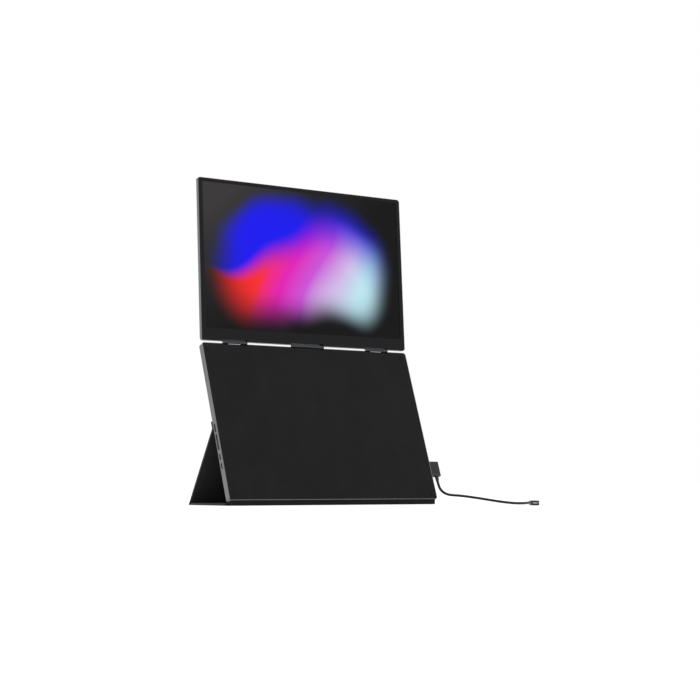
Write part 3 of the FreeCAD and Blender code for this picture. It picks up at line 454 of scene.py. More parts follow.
# %% [markdown]
# The stand is board under a thin leather-like skin, matt black with a fine pebble grain. A
# noise alone looks like sand. Voronoi cells give rounded pebbles, a finer set between them
# breaks up their rows, and a slow cloud makes the skin a little lighter where hands rub it.

# %% Leather-like skin
# pebbles in cells a metre, and how deep they are in metres
PEBBLES = ((950.0, 0.00012), (2300.0, 0.00005))


def pebbled_skin(name):
    material, tree, shader, place = new_finish(name, 0.62, specular=0.15)
    wear = noise(tree, place, 9.0, detail=6.0)
    tone(tree, shader, wear, [(0.3, dark(42)), (0.72, dark(52))])
    for scale, depth in PEBBLES:
        pebbles = tree.nodes.new("ShaderNodeTexVoronoi")
        pebbles.feature = "SMOOTH_F1"
        pebbles.inputs["Scale"].default_value = scale
        tree.links.new(place, pebbles.inputs["Vector"])
        bump(tree, shader, pebbles.outputs["Distance"], 0.5, depth)
    dullness(tree, shader, wear, 0.68, 0.52)
    shader.inputs["Sheen Weight"].default_value = 0.05
    return material


stand_fabric = pebbled_skin("stand_fabric")
print("skin ready")

# %% [markdown]
# The display is switched on and shows a soft abstract picture on black. An image file is not
# needed for that. One curved border parts a blue field from a band that runs from red through
# magenta to pale cyan: it is sharp at the left and soft at the right. Soft lobes, each the
# distance from a point on stretched and turned coordinates, light the fields and leave the
# panel's rim dark. The layout is our own.

# %% Picture on the lit panel
PANEL_MIDDLE = DISPLAY @ (Vector((0.0, 125.9, 5.7)) * MM)
PANEL_HALF_WIDTH = 172.35 * MM

# centre across and up, half width and height, turn, where the fade ends and begins
LIT_LOBES = [
    ((-0.42, -0.10), (0.60, 0.46), 14.0, (1.15, 0.20)),
    ((0.08, -0.02), (0.80, 0.50), -14.0, (1.12, 0.35)),
    ((0.54, -0.10), (0.46, 0.44), 30.0, (1.15, 0.20)),
    ((-0.26, 0.24), (0.60, 0.32), 10.0, (1.15, 0.25)),
    ((0.46, 0.22), (0.48, 0.32), -24.0, (1.15, 0.15)),
]
BAND_STOPS = [
    (0.10, screen_colour(246, 36, 26)), (0.30, screen_colour(252, 44, 50)),
    (0.44, screen_colour(232, 28, 186)), (0.58, screen_colour(206, 84, 220)),
    (0.72, screen_colour(214, 190, 238)), (0.84, screen_colour(192, 234, 244)),
]
FIELD_STOPS = [
    (0.1, screen_colour(22, 16, 250)), (0.6, screen_colour(16, 14, 236)),
    (0.9, screen_colour(26, 22, 196)),
]
HAZE_STOPS = [
    (0.0, screen_colour(56, 54, 54)), (0.4, screen_colour(28, 28, 29)),
    (0.8, screen_colour(6, 6, 7)),
]
SWAY_SCALE, SWAY_AMOUNT = 1.6, 0.30
PICTURE_STRENGTH = 0.95

# a Mix node has sockets for each kind of data, and these are its places for colours
MIX_FACTOR, MIX_FIRST, MIX_SECOND, MIX_RESULT = 0, 6, 7, 2


def calc(tree, operation, first, second=0.0, third=0.0):
    """A Math node on up to three numbers or outputs."""
    node = tree.nodes.new("ShaderNodeMath")
    node.operation = operation
    for socket, given in zip(node.inputs, (first, second, third)):
        if isinstance(given, float):
            socket.default_value = given
        else:
            tree.links.new(given, socket)
    return node.outputs["Value"]


def mix_colours(tree, factor, first, second):
    """The first colour where the factor is 0, and the second where it is 1."""
    node = tree.nodes.new("ShaderNodeMix")
    node.data_type = "RGBA"
    for socket, given in ((MIX_FACTOR, factor), (MIX_FIRST, first), (MIX_SECOND, second)):
        tree.links.new(given, node.inputs[socket])
    return node.outputs[MIX_RESULT]


def panel_place(tree, place):
    """Object coordinates as places on the panel: X across and Y up, 1 at its side edges."""
    node = tree.nodes.new("ShaderNodeMapping")
    node.vector_type = "TEXTURE"
    node.inputs["Location"].default_value = PANEL_MIDDLE
    node.inputs["Rotation"].default_value = (math.radians(DISPLAY_LEAN), 0.0, 0.0)
    node.inputs["Scale"].default_value = (PANEL_HALF_WIDTH,) * 3
    tree.links.new(place, node.inputs["Vector"])
    return node.outputs["Vector"]


def swayed(tree, place, amount):
    """Places pushed about by a slow noise, so that no outline is a plain ellipse."""
    sway = tree.nodes.new("ShaderNodeTexNoise")
    sway.inputs["Scale"].default_value = SWAY_SCALE
    sway.inputs["Detail"].default_value = 0.0
    tree.links.new(place, sway.inputs["Vector"])
    push = tree.nodes.new("ShaderNodeVectorMath")
    push.operation = "MULTIPLY_ADD"
    push.inputs[1].default_value = (amount, amount, 0.0)
    push.inputs[2].default_value = (-amount / 2, -amount / 2, 0.0)
    tree.links.new(sway.outputs["Color"], push.inputs[0])
    total = tree.nodes.new("ShaderNodeVectorMath")
    tree.links.new(place, total.inputs[0])
    tree.links.new(push.outputs["Vector"], total.inputs[1])
    return total.outputs["Vector"]


def lobe(tree, place, centre, size, turn, fade):
    """A soft patch: 1 in its middle and 0 beyond its edge."""
    shape = tree.nodes.new("ShaderNodeMapping")
    shape.vector_type = "TEXTURE"
    shape.inputs["Location"].default_value = (*centre, 0.0)
    shape.inputs["Rotation"].default_value = (0.0, 0.0, math.radians(turn))
    shape.inputs["Scale"].default_value = (*size, 1.0)
    tree.links.new(place, shape.inputs["Vector"])
    reach = tree.nodes.new("ShaderNodeVectorMath")
    reach.operation = "LENGTH"
    tree.links.new(shape.outputs["Vector"], reach.inputs[0])
    soft = tree.nodes.new("ShaderNodeMapRange")
    soft.interpolation_type = "SMOOTHERSTEP"
    soft.inputs["From Min"].default_value = fade[0]
    soft.inputs["From Max"].default_value = fade[1]
    tree.links.new(reach.outputs["Value"], soft.inputs["Value"])
    return soft.outputs["Result"]


def lit_panel(name):
    material, tree, shader, place = new_finish(name, 0.12, specular=0.1)
    place = panel_place(tree, place)
    bent = swayed(tree, place, SWAY_AMOUNT)
    split = tree.nodes.new("ShaderNodeSeparateXYZ")
    tree.links.new(bent, split.inputs["Vector"])
    across, up = split.outputs["X"], split.outputs["Y"]
    from_left = calc(tree, "MULTIPLY_ADD", across, 0.5, 0.5)

    # the border rises and falls across the panel and gets softer towards the right
    wave = calc(tree, "SINE", calc(tree, "MULTIPLY_ADD", across, 3.1, 0.9))
    over = calc(tree, "SUBTRACT", up, calc(tree, "MULTIPLY_ADD", wave, 0.2, 0.06))
    softness = calc(tree, "MULTIPLY_ADD", from_left, 0.34, 0.035)
    side = calc(tree, "MULTIPLY_ADD", calc(tree, "DIVIDE", over, softness), 0.5, 0.5)
    border = tree.nodes.new("ShaderNodeMapRange")
    border.interpolation_type = "SMOOTHSTEP"
    tree.links.new(side, border.inputs["Value"])

    along = calc(tree, "MULTIPLY_ADD", up, -0.22, from_left)
    band = ramp(tree, along, BAND_STOPS)
    field = ramp(tree, from_left, FIELD_STOPS)
    fields = mix_colours(tree, border.outputs["Result"], band, field)

    unlit = None
    for centre, size, turn, fade in LIT_LOBES:
        rest = calc(tree, "SUBTRACT", 1.0, lobe(tree, bent, centre, size, turn, fade))
        unlit = calc(tree, "MULTIPLY", unlit, rest) if unlit else rest
    haze = calc(tree, "MULTIPLY_ADD", up, -0.7, calc(tree, "ADD", from_left, 0.25))
    picture = mix_colours(tree, unlit, fields, ramp(tree, haze, HAZE_STOPS))
    tree.links.new(picture, shader.inputs["Emission Color"])
    shader.inputs["Emission Strength"].default_value = PICTURE_STRENGTH
    shader.inputs["Base Color"].default_value = screen_colour(7, 7, 8)
    bump(tree, shader, noise(tree, place, 900.0), 0.02, 0.00002)
    return material


screen_glass = lit_panel("screen_glass")
print("picture of", len(LIT_LOBES), "lit lobes")

# %% [markdown]
# Most of the frame's own nodes keep their shape and only need their finish. A table of node
# and material does that in one loop, through each object's material slots, so that the frame's
# meshes stay as they are.

# %% Give the frame's nodes their finishes
NODE_FINISHES = {
    grey_shell: ["base_rear_shell", "display_rear_shell"],
    black_cover: ["base_front_cover"],
    rubber: ["closing_bumpers", "foot_strip"],
    circuit_board: ["driver_board", "io_board", "button_board", "timing_board"],
    ribbon: ["board_ribbon", "display_cable"],
    socket_steel: ["left_usb_sockets", "right_usb_socket", "angled_plug_tongue",
                   "straight_plug_tongue"],
    black_plastic: ["speaker_left", "speaker_right", "button_switches", "panel_pads"],
    magnet: ["slab_magnets", "strip_magnets"],
    steel: ["rocker_pin", "hinge_shaft_left", "hinge_shaft_right", "base_hinge_screws",
            "board_screws", "display_hinge_screws"],
    hinge_steel: ["base_hinge_bracket_left", "base_hinge_bracket_right",
                  "display_hinge_bracket_left", "display_hinge_bracket_right", "cable_guard"],
    plug_plastic: ["angled_plug", "straight_plug"],
    cable_jacket: ["link_cable"],
    button_black: ["power_button", "volume_rocker"],
    bezel_black: ["display_bezel"],
    screen_glass: ["lcd_panel"],
    backlight_white: ["backlight_unit"],
    stand_fabric: ["stand_base_panel", "stand_back_panel", "stand_strip"],
}
for material, names in NODE_FINISHES.items():
    for name in names:
        for holder in nodes[name].material_slots:
            holder.material = material
left_over = set(nodes) - {name for names in NODE_FINISHES.values() for name in names}
print("nodes without a finish:", sorted(left_over))

# %% [markdown]
# Real edges are never quite sharp: they are broken by a tool or rounded by a mould, and catch
# a thin line of light. The frame's mesh may not change, so a copy of it is merged, its edges
# are bevelled there, and the copy stands for the node. Only long outer edges are bevelled,
# because tiny holes leave no room beside them.

# %% Round the outer edges of the large pieces
MERGE_REACH, FLAT_ANGLE, SHARP_ANGLE = 0.000002, 0.4, 30.0


def merged_copy(node, name):
    """A copy of a node's mesh, merged and with its flat faces joined."""
    piece = bpy.data.objects.new(name, nodes[node].data.copy())
    scene.collection.objects.link(piece)
    edit(piece)
    bpy.ops.mesh.customdata_custom_splitnormals_clear()
    bpy.ops.mesh.select_all(action="SELECT")
    bpy.ops.mesh.remove_doubles(threshold=MERGE_REACH)
    bpy.ops.mesh.dissolve_limited(angle_limit=math.radians(FLAT_ANGLE))
    leave_edit()
    return piece


def sharp_edges(piece, least_angle):
    """The pairs of corners whose edge turns by more than an angle."""
    faces_at = {}
    for face in piece.data.polygons:
        for key in face.edge_keys:
            faces_at.setdefault(key, []).append(face.normal.copy())
    limit = math.radians(least_angle)
    return {key for key, normals in faces_at.items()
            if len(normals) == 2 and normals[0].angle(normals[1]) > limit}


def round_edges(piece, wanted, width, steps):
    """Bevels the sharp edges of a piece that a test on their two ends picks out."""
    sharp = sharp_edges(piece, SHARP_ANGLE)
    edit(piece)
    picked = select_edges(piece, wanted, among=sharp)
    bpy.ops.mesh.bevel(offset=width, segments=steps, affect="EDGES", clamp_overlap=True)
    leave_edit()
    smooth(piece)
    apply_modifier(piece, "WEIGHTED_NORMAL", keep_sharp=True, weight=100)
    return picked


PANEL_HALF, PANEL_HEIGHT = 179.5 * MM, 239.0 * MM
EDGE_REACH, FACE_REACH, LEVEL_REACH = 0.9 * MM, 0.05 * MM, 0.02 * MM


def on_outline(place, top):
    """A test for the edges that run round the back or front rim of a piece of a panel."""
    back = place.inverted()

    def near(spot):
        side = PANEL_HALF - abs(spot.x) < EDGE_REACH
        return side or spot.y < EDGE_REACH or spot.y > PANEL_HEIGHT - EDGE_REACH

    def test(first, second):
        first, second = back @ first, back @ second
        level = abs(first.z - second.z) < LEVEL_REACH
        rim = first.z < EDGE_REACH or first.z > top - FACE_REACH
        return level and rim and near(first) and near(second)

    return test


# node, its panel, the height of its front rim, body, slot, material and width of the bevel
LARGE_PIECES = [
    ("base_rear_shell", BASE, 9.2 * MM, "base", "grey_shell", grey_shell, 0.22 * MM),
    ("display_rear_shell", DISPLAY, 5.7 * MM, "display", "grey_shell", grey_shell, 0.18 * MM),
    ("display_bezel", DISPLAY, 6.5 * MM, "display", "bezel_black", bezel_black, 0.15 * MM),
    ("base_front_cover", BASE, 10.4 * MM, "base", "black_cover", black_cover, 0.25 * MM),
]
for node, place, top, body, slot, material, width in LARGE_PIECES:
    piece = merged_copy(node, node + "_finished")
    count = round_edges(piece, on_outline(place, top), width, 2)
    finish_piece(piece, body, material, [node])
    print(node, count, "edges rounded")

# %% [markdown]
# The stand's boards are wrapped in their skin, so the rim of each inner face is a soft roll and
# not a cut edge. The crease lines come from the frame's joints. From them each board's own
# frame follows, in which the rim is easy to pick out: it lies at one height over the skin.

# %% Wrap the stand's boards
JOINTS = {joint["name"]: joint for joint in frame["joints"]}
ROOT, FOOT, TOP = (Vector(JOINTS[name]["pos_m"])
                   for name in ("stand_fold", "foot_crease", "strip_crease"))
SLAB_UP = (lean(BASE_LEAN) @ Vector((0.0, 1.0, 0.0))).normalized()
BASE_RUN, BACK_RUN = (FOOT - ROOT).normalized(), (TOP - FOOT).normalized()
# heights over a crease's line: a board's inner face and the skin's outer face
BOARD_FACE, SKIN_FACE, SKIN_REACH = 2.6 * MM, -0.4 * MM, 0.03 * MM
RIM_REACH = 0.1 * MM
SAME_SIDE = 1.0 * MM
BOARD_ROLL, SKIN_ROLL = 0.8 * MM, 0.25 * MM


def run_frame(start, run):
    """A frame at a crease with Y along the board that starts there."""
    return Matrix.Translation(start) @ Matrix.Rotation(math.atan2(run.z, run.y), 4, "X")


def on_board_rim(piece, place):
    """A test for the edges round a board's inner face, without its magnet pockets."""
    back = place.inverted()
    spots = [back @ vertex.co for vertex in piece.data.vertices]
    face = [spot for spot in spots if abs(spot.z - BOARD_FACE) < FACE_REACH]
    low, high = min(spot.y for spot in face), max(spot.y for spot in face)

    def near(point):
        spot = back @ point
        at_side = PANEL_HALF - abs(spot.x) < RIM_REACH
        at_end = min(spot.y - low, high - spot.y) < RIM_REACH
        return (at_side or at_end) and abs(spot.z - BOARD_FACE) < FACE_REACH

    return lambda first, second: near(first) and near(second)


def on_skin_end(place):
    """A test for the skin's two end edges, on its outer side."""
    back = place.inverted()

    def near(point):
        spot = back @ point
        return PANEL_HALF - abs(spot.x) < RIM_REACH and abs(spot.z - SKIN_FACE) < SKIN_REACH

    def test(first, second):
        return near(first) and near(second) and abs(first.x - second.x) < SAME_SIDE

    return test


for node, start, run in (
        ("stand_base_panel", ROOT, BASE_RUN),
        ("stand_back_panel", FOOT, BACK_RUN),
        ("stand_strip", TOP, SLAB_UP)):
    place = run_frame(start, run)
    piece = merged_copy(node, node + "_wrapped")
    count = round_edges(piece, on_board_rim(piece, place), BOARD_ROLL, 4)
    count += round_edges(piece, on_skin_end(place), SKIN_ROLL, 2)
    finish_piece(piece, node, stand_fabric, [node])
    print(node, count, "edges rounded")

# %% [markdown]
# Small metal and rubber pieces are stamped, cast or turned, and their edges are broken too. The
# same bevel runs over them in a loop, and leaves the shortest edges alone.

# %% Break the edges of the small pieces
STEEL_EDGE, RUBBER_EDGE = 0.12 * MM, 0.2 * MM
SHORTEST_BROKEN = 1.2 * MM
# node, body, slot, material and width of the bevel
SMALL_PIECES = [
    ("base_hinge_bracket_left", "base", "hinge_steel", hinge_steel, STEEL_EDGE),
    ("base_hinge_bracket_right", "base", "hinge_steel", hinge_steel, STEEL_EDGE),
    ("display_hinge_bracket_left", "display", "hinge_steel", hinge_steel, STEEL_EDGE),
    ("display_hinge_bracket_right", "display", "hinge_steel", hinge_steel, STEEL_EDGE),
    ("cable_guard", "base", "hinge_steel", hinge_steel, STEEL_EDGE),
    ("foot_strip", "base", "rubber", rubber, RUBBER_EDGE),
]
for node, body, slot, material, width in SMALL_PIECES:
    piece = merged_copy(node, node + "_finished")
    count = round_edges(piece, lambda a, b: (a - b).length > SHORTEST_BROKEN, width, 2)
    finish_piece(piece, body, material, [node])
    print(node, count, "edges rounded")

# %% [markdown]
# Inside each port stands a tongue of black plastic with a row of gilt contacts on both faces.
# The frame has only its steel core. The tongue is a box drawn in at its front, and one contact
# is modelled and repeated by an array, because the real ones are all alike and evenly spaced.

# %% Tongues and contacts in the ports
# in millimetres on the slab: up it, off its back, and along the tongue from its front
PORT_HEIGHTS = (65.8, 52.2)
PORT_DEPTH = 5.0
TONGUE_FRONT, TONGUE_NOSE, TONGUE_BACK = -177.65, -177.0, -170.6
TONGUE_HALF_WIDTH, TONGUE_HALF_THICKNESS, TONGUE_ROUND = 3.42, 0.42, 0.2
CONTACTS, CONTACT_PITCH = 12, 0.5
CONTACT_FRONT, CONTACT_BACK, CONTACT_RISE = -177.0, -173.2, 0.43
CONTACT_HALF_WIDTH, CONTACT_HALF_THICKNESS, CONTACT_ROUND = 0.13, 0.03, 0.015
ALIGNED = 1e-7
gilt = brushed_metal(
    "contact_gilt", screen_colour(176, 132, 58), screen_colour(222, 180, 98), 0.3)


def port_tongue(name, height):
    low = (TONGUE_FRONT, height - TONGUE_HALF_WIDTH, PORT_DEPTH - TONGUE_HALF_THICKNESS)
    high = (TONGUE_BACK, height + TONGUE_HALF_WIDTH, PORT_DEPTH + TONGUE_HALF_THICKNESS)
    tongue = new_box(name, low, high)
    edit(tongue)
    select_edges(tongue, lambda a, b: max(a.x, b.x) < TONGUE_NOSE * MM)
    bevel(TONGUE_ROUND * MM, 2)
    leave_edit()
    settle(tongue, BASE)
    smooth(tongue)
    return finish_piece(tongue, "base", black_plastic)


def port_contacts(name, height):
    """A row of contacts on each face of a tongue."""
    rows = []
    start = height - (CONTACTS - 1) * CONTACT_PITCH / 2
    for side in (-1, 1):
        level = PORT_DEPTH + side * CONTACT_RISE
        low = (CONTACT_FRONT, start - CONTACT_HALF_WIDTH, level - CONTACT_HALF_THICKNESS)
        high = (CONTACT_BACK, start + CONTACT_HALF_WIDTH, level + CONTACT_HALF_THICKNESS)
        blade = new_box(f"{name}_{'low' if side < 0 else 'high'}", low, high)
        edit(blade)
        select_edges(blade, lambda a, b: abs(a.y - b.y) < ALIGNED and abs(a.z - b.z) < ALIGNED)
        bevel(CONTACT_ROUND * MM, 1)
        leave_edit()
        repeat(blade, CONTACTS, (0.0, CONTACT_PITCH * MM, 0.0))
        rows.append(blade)
    contacts = join(rows)
    contacts.name = name
    settle(contacts, BASE)
    return finish_piece(contacts, "base", gilt)


for label, height in zip(("upper", "lower"), PORT_HEIGHTS):
    port_tongue(f"{label}_port_tongue", height)
    port_contacts(f"{label}_port_contacts", height)
print("ports filled:", len(PORT_HEIGHTS))

# %% [markdown]
# Behind each speaker grille a black dust cloth is pressed a little way into the holes. Its black
# also stands in for the shade deep in the holes, as painted shade, so that they look like dark
# dots from the side as well. One bulge of cloth is a short cylinder with a rounded face, repeated
# by an array along the grille.

# %% Cloth and painted shade in the speaker grilles
GRILLE_START, GRILLE_PITCH, GRILLE_HOLES, GRILLE_DEPTH = 179.6, 3.68, 9, 4.4
BULGE_RADIUS, BULGE_LENGTH, BULGE_SET_BACK, BULGE_ROUND, BULGE_SIDES = 0.69, 1.1, 0.15, 0.12, 16


def grille_shade_cloth(name, side):
    """Cloth in the grille of one side, -1 at the left and 1 at the right; its black also paints
    the shade in the holes.
    """
    middle = side * (PANEL_HALF / MM - BULGE_SET_BACK - BULGE_LENGTH / 2)
    bpy.ops.object.select_all(action="DESELECT")
    bpy.ops.mesh.primitive_cylinder_add(
        vertices=BULGE_SIDES, radius=BULGE_RADIUS * MM, depth=BULGE_LENGTH * MM,
        location=Vector((middle, GRILLE_START, GRILLE_DEPTH)) * MM,
        rotation=(0.0, math.radians(90 * side), 0.0))
    shade_cloth = bpy.context.active_object
    shade_cloth.name = name
    settle(shade_cloth)
    edit(shade_cloth)
    select_edges(shade_cloth, lambda a, b: min(abs(a.x), abs(b.x)) > abs(middle) * MM)
    bevel(BULGE_ROUND * MM, 2)
    leave_edit()
    repeat(shade_cloth, GRILLE_HOLES, (0.0, GRILLE_PITCH * MM, 0.0))
    settle(shade_cloth, BASE)
    smooth(shade_cloth)
    # black, so that the bulges also stand in for the shade deep in the grille holes: painted
    # shade
    return finish_piece(shade_cloth, "base", black_plastic)


for label, side in (("left", -1), ("right", 1)):
    shade_cloth = grille_shade_cloth(f"grille_shade_cloth_{label}", side)
    print(shade_cloth.name, len(shade_cloth.data.polygons), "faces")

# %% [markdown]
# The plugs are moulded in one piece with their strain reliefs. A grip is a box with rounded
# sides and fine grooves across its faces for the fingers, and one of them has a cut corner. The
# grooves are cut by a row of thin bars, one bar modelled and repeated by an array, because a
# boolean leaves clean walls, where pushing faces in would need a cut at each side.

# %% Model the grips
GRIP_ROUND, CORNER_CUT, CORNER_REACH = 1.6 * MM, 3.0 * MM, 1.7 * MM
GRIP_ALIGNED = 1e-6
GROOVE_DEPTH, GROOVE_SHARE, CUTTER_OVERHANG = 0.35, 0.4, 1


def rounded_grip(name, low, high, round_axis, cut_corner=None):
    """A grip between two corners in millimetres, with the edges along one axis rounded."""
    grip = new_box(name, low, high)
    other = [axis for axis in range(3) if axis != round_axis]
    edit(grip)
    select_edges(grip, lambda a, b: all(abs(a[axis] - b[axis]) < GRIP_ALIGNED for axis in other))
    bevel(GRIP_ROUND, 5)
    if cut_corner:
        corner = Vector(cut_corner) * MM

        def at_corner(end):
            return abs(end.x - corner.x) < CORNER_REACH and abs(end.y - corner.y) < GRIP_ALIGNED

        select_edges(grip, lambda a, b: at_corner(a) and at_corner(b) and abs(a.z - b.z) > MM)
        bevel(CORNER_CUT, 1)
    leave_edit()
    return grip


def cut_grooves(grip, low, high, count):
    """Cuts a row of grooves into both broad faces, spread evenly along X."""
    low, high = Vector(low), Vector(high)
    pitch = (high.x - low.x) / (count - 1)
    for face, start, end in ((0, low.z - CUTTER_OVERHANG, low.z + GROOVE_DEPTH),
                             (1, high.z - GROOVE_DEPTH, high.z + CUTTER_OVERHANG)):
        bar_low, bar_high = low.copy(), high.copy()
        bar_low.z, bar_high.z = start, end
        bar_high.x = bar_low.x + pitch * GROOVE_SHARE
        bar = new_box(f"groove_cutter_{face}", bar_low, bar_high)
        repeat(bar, count, (pitch * MM, 0.0, 0.0))
        apply_modifier(grip, "BOOLEAN", object=bar, operation="DIFFERENCE", solver="EXACT")
        bpy.data.objects.remove(bar)


def turned(name, rings):
    """A piece turned round Z: rings of (height, radius) in millimetres, closed at both ends."""
    height, radius = rings[0]
    bpy.ops.object.select_all(action="DESELECT")
    bpy.ops.mesh.primitive_circle_add(vertices=RELIEF_SIDES, radius=radius * MM, fill_type="NGON",
                                      location=(0.0, 0.0, height * MM))
    piece = bpy.context.active_object
    piece.name = name
    edit(piece)
    bpy.ops.mesh.select_all(action="SELECT")
    for (start, radius), (end, next_radius) in zip(rings, rings[1:]):
        rise, share = (end - start) * MM, next_radius / radius
        bpy.ops.mesh.extrude_region_move(TRANSFORM_OT_translate={"value": (0.0, 0.0, rise)})
        bpy.ops.transform.resize(value=(share, share, 1.0),
                                 center_override=(0.0, 0.0, end * MM))
    bpy.ops.mesh.select_all(action="SELECT")
    bpy.ops.mesh.normals_make_consistent(inside=False)
    leave_edit()
    settle(piece)
    return piece


# the ribs of a strain relief, from the grip to its end
RELIEF_RINGS = [
    (0.0, 3.0), (1.6, 3.0), (1.9, 2.5), (2.5, 2.5), (2.8, 2.85), (3.9, 2.8), (4.2, 2.35),
    (4.8, 2.35), (5.1, 2.65), (6.2, 2.55), (6.5, 2.2), (8.0, 2.1), (8.0, 1.95),
]
RELIEF_SIDES = 32
print("strain relief of", len(RELIEF_RINGS), "rings")

# %% [markdown]
# The angled plug sits in the slab's right port and points its cable down the side. Its grip
# stands out 18.5 mm, so the cable runs clear of the laptop in front of it.

# %% Angled plug
ANGLED_LOW, ANGLED_HIGH = (179.6, 37.8, 1.6), (198.1, 60.5, 8.4)
ANGLED_EXIT = (191.2, 37.8, 5.0)
angled = rounded_grip("angled_plug_grip", ANGLED_LOW, ANGLED_HIGH, 1, cut_corner=(198.1, 37.8))
cut_grooves(angled, (183.2, 42.0, 1.6), (195.2, 58.6, 8.4), count=9)
relief = turned("angled_plug_relief", RELIEF_RINGS)
down_the_side = Matrix.Rotation(math.radians(90), 4, "X")
settle(relief, Matrix.Translation(Vector(ANGLED_EXIT) * MM) @ down_the_side)
angled = join([angled, relief])
settle(angled, BASE)
smooth(angled)
finish_piece(angled, "base", plug_plastic, ["angled_plug"])
print("angled plug", len(angled.data.polygons), "faces")

# %% [markdown]
# The straight plug lies on the table at the cable's end, in line with its last run. It has the
# same mould details, so the same helpers make it.

# %% Straight plug
END, BEFORE = Vector(CABLE_ROUTE[-1]), Vector(CABLE_ROUTE[-2])
HEADING = math.atan2(END.y - BEFORE.y, END.x - BEFORE.x)
STRAIGHT = Matrix.Translation(END) @ Matrix.Rotation(HEADING, 4, "Z")
STRAIGHT_LOW, STRAIGHT_HIGH = (8.0, -5.8, -3.4), (32.0, 5.8, 3.4)
STRAIGHT_EXIT = (8.0, 0.0, 0.0)
straight = rounded_grip("straight_plug_grip", STRAIGHT_LOW, STRAIGHT_HIGH, 0)
cut_grooves(straight, (12.0, -4.2, -3.4), (27.0, 4.2, 3.4), count=8)
relief = turned("straight_plug_relief", RELIEF_RINGS)
back_to_the_cable = Matrix.Rotation(math.radians(-90), 4, "Y")
settle(relief, Matrix.Translation(Vector(STRAIGHT_EXIT) * MM) @ back_to_the_cable)
straight = join([straight, relief])
settle(straight, STRAIGHT)
smooth(straight)
finish_piece(straight, "base", plug_plastic, ["straight_plug"])
print("straight plug", len(straight.data.polygons), "faces")

# %% [markdown]
# The cable and both plugs are one piece of a fixed length. The cable gets its jacket and moves
# with the slab, and the frame's own cable is hidden.

finish_piece(link_cord, "base", cable_jacket, ["link_cable"])

# %% [markdown]
# At each crease the boards stop short and only the skin goes across, so that the stand can
# fold. The frame leaves a small gap there. A strip of skin fills it: a narrow plane, extruded
# round the crease, given its thickness by a Solidify modifier, and rounded on its outer side.
# It runs along one panel at one end and along the next panel at the other, with a rounded bend
# between them.

# %% Skin across the creases
SKIN_HALF = 179.3 * MM
SKIN_THICKNESS = 0.66 * MM
LEG_BEFORE, LEG_AFTER = 0.9 * MM, 1.6 * MM
WRAP_RADIUS, OUTER_REACH, MIDDLE_REACH = 0.34 * MM, 0.2 * MM, 0.1 * MM
LEAST_TURN = 0.1


def crease_skin(name, crease, before, after):
    """Skin over a crease, from one panel's direction to the next one's."""
    middle = (before + after).normalized()
    inwards = after - before
    bpy.ops.object.select_all(action="DESELECT")
    bpy.ops.mesh.primitive_plane_add(size=1.0)
    strip = bpy.context.active_object
    strip.name = name
    edit(strip)
    bpy.ops.mesh.select_all(action="SELECT")
    bpy.ops.transform.resize(value=(2 * SKIN_HALF, LEG_BEFORE, 1.0),
                             center_override=(0.0, 0.0, 0.0))
    bpy.ops.transform.translate(value=(0.0, -LEG_BEFORE / 2, 0.0))
    leave_edit()
    settle(strip, run_frame(crease, before))
    edit(strip)
    select_edges(strip, lambda a, b: abs(a.x - b.x) > MM and
                 (a - crease).dot(before) > -LEG_BEFORE / 2)
    bpy.ops.mesh.extrude_region_move(TRANSFORM_OT_translate={"value": after * LEG_AFTER})
    leave_edit()
    apply_modifier(strip, "SOLIDIFY", thickness=SKIN_THICKNESS, offset=0.0, use_even_offset=True)
    if inwards.length > LEAST_TURN:
        inwards.normalize()

        def on_bend(end):
            out = Vector((0.0, end.y, end.z)) - crease
            return out.dot(inwards) < -OUTER_REACH and abs(out.dot(middle)) < MIDDLE_REACH

        edit(strip)
        select_edges(strip, lambda a, b: abs(a.x - b.x) > MM and on_bend(a) and on_bend(b))
        bevel(WRAP_RADIUS, 4)
        leave_edit()
    edit(strip)
    bpy.ops.mesh.select_all(action="SELECT")
    bpy.ops.mesh.normals_make_consistent(inside=False)
    leave_edit()
    smooth(strip)
    finish_piece(strip, None, stand_fabric)
    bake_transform(strip)
    return strip


for name, crease, before, after, bodies in (
        ("root_crease_skin", ROOT, BASE_RUN, BASE_RUN, ("base", "stand_base_panel")),
        ("foot_crease_skin", FOOT, BASE_RUN, BACK_RUN, ("stand_base_panel", "stand_back_panel")),
        ("top_crease_skin", TOP, BACK_RUN, SLAB_UP, ("stand_back_panel", "stand_strip"))):
    strip = crease_skin(name, crease, before, after)
    extent = [round(size / MM, 1) for size in strip.dimensions]
    print(name, len(strip.data.polygons), "faces, size (mm)", extent)

# %% [markdown]
# The picture needs a plain pale floor and soft light. The floor is white as the camera sees
# it and still keeps the shadow under the stand. The world lights the object at a plain level
# and shows white to the camera and in reflections.

# %% Floor, world and lamps
FLOOR_SIZE, FLOOR_DROP, FLOOR_GLOW = 240.0, 0.0002, 0.42
WORLD_LIGHT = 0.72
LAMP_AIM = Vector((0.0, 0.0, 0.2))
WHITE = (1.0, 1.0, 1.0, 1.0)


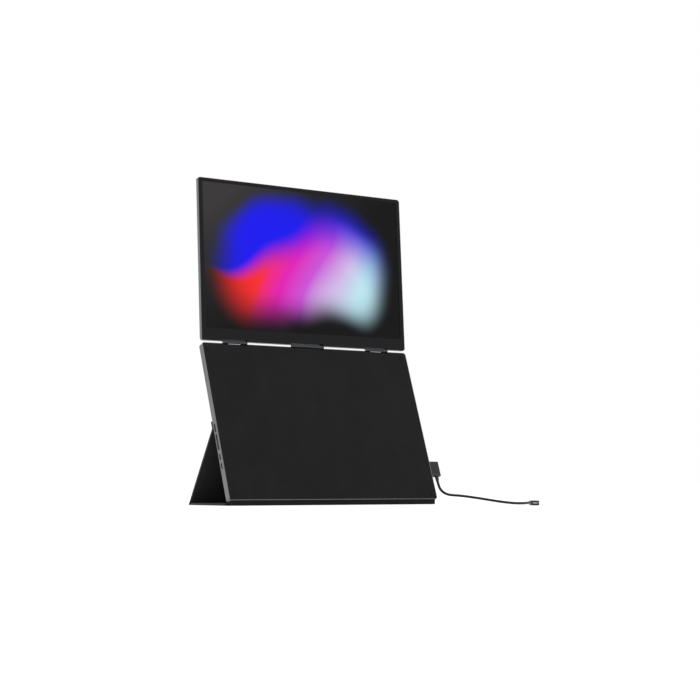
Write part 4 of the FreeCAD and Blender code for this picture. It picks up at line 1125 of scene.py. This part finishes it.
def white_to_the_eye(tree):
    """1 for camera, glossy and transmission rays, and 0 for the rays that light the object."""
    path = tree.nodes.new("ShaderNodeLightPath")
    total = path.outputs["Is Camera Ray"]
    for name in ("Is Glossy Ray", "Is Transmission Ray"):
        add = tree.nodes.new("ShaderNodeMath")
        add.operation = "ADD"
        add.use_clamp = True
        tree.links.new(total, add.inputs[0])
        tree.links.new(path.outputs[name], add.inputs[1])
        total = add.outputs["Value"]
    return total


bpy.ops.object.select_all(action="DESELECT")
bpy.ops.mesh.primitive_plane_add(size=FLOOR_SIZE, location=(0.0, 0.0, -FLOOR_DROP))
floor = bpy.context.active_object
floor.name = "floor"
floor_finish = bpy.data.materials.new("floor")
floor_finish.use_nodes = True
tree = floor_finish.node_tree
shader = tree.nodes["Principled BSDF"]
shader.inputs["Base Color"].default_value = (0.86, 0.86, 0.86, 1.0)
shader.inputs["Roughness"].default_value = 0.9
shader.inputs["Specular IOR Level"].default_value = 0.0
shader.inputs["Emission Color"].default_value = WHITE
glow = spread(tree, white_to_the_eye(tree), 0.0, FLOOR_GLOW)
tree.links.new(glow, shader.inputs["Emission Strength"])
floor.data.materials.append(floor_finish)

world = bpy.data.worlds.new("studio")
scene.world = world
world.use_nodes = True
tree = world.node_tree
background = tree.nodes["Background"]
background.inputs["Color"].default_value = WHITE
strength = spread(tree, white_to_the_eye(tree), WORLD_LIGHT, 1.0)
tree.links.new(strength, background.inputs["Strength"])

# name, place, power in watts and size
LAMPS = [
    ("key_lamp", (-1.6, -1.1, 1.9), 16.0, 1.4),
    ("back_lamp", (1.2, 1.6, 1.5), 9.0, 1.2),
]
for name, place, power, size in LAMPS:
    lamp_data = bpy.data.lights.new(name, "AREA")
    lamp_data.energy = power
    lamp_data.size = size
    lamp = bpy.data.objects.new(name, lamp_data)
    lamp.location = place
    towards = LAMP_AIM - Vector(place)
    lamp.rotation_euler = towards.to_track_quat("-Z", "Y").to_euler()
    scene.collection.objects.link(lamp)
print("floor, world and", len(LAMPS), "lamps")
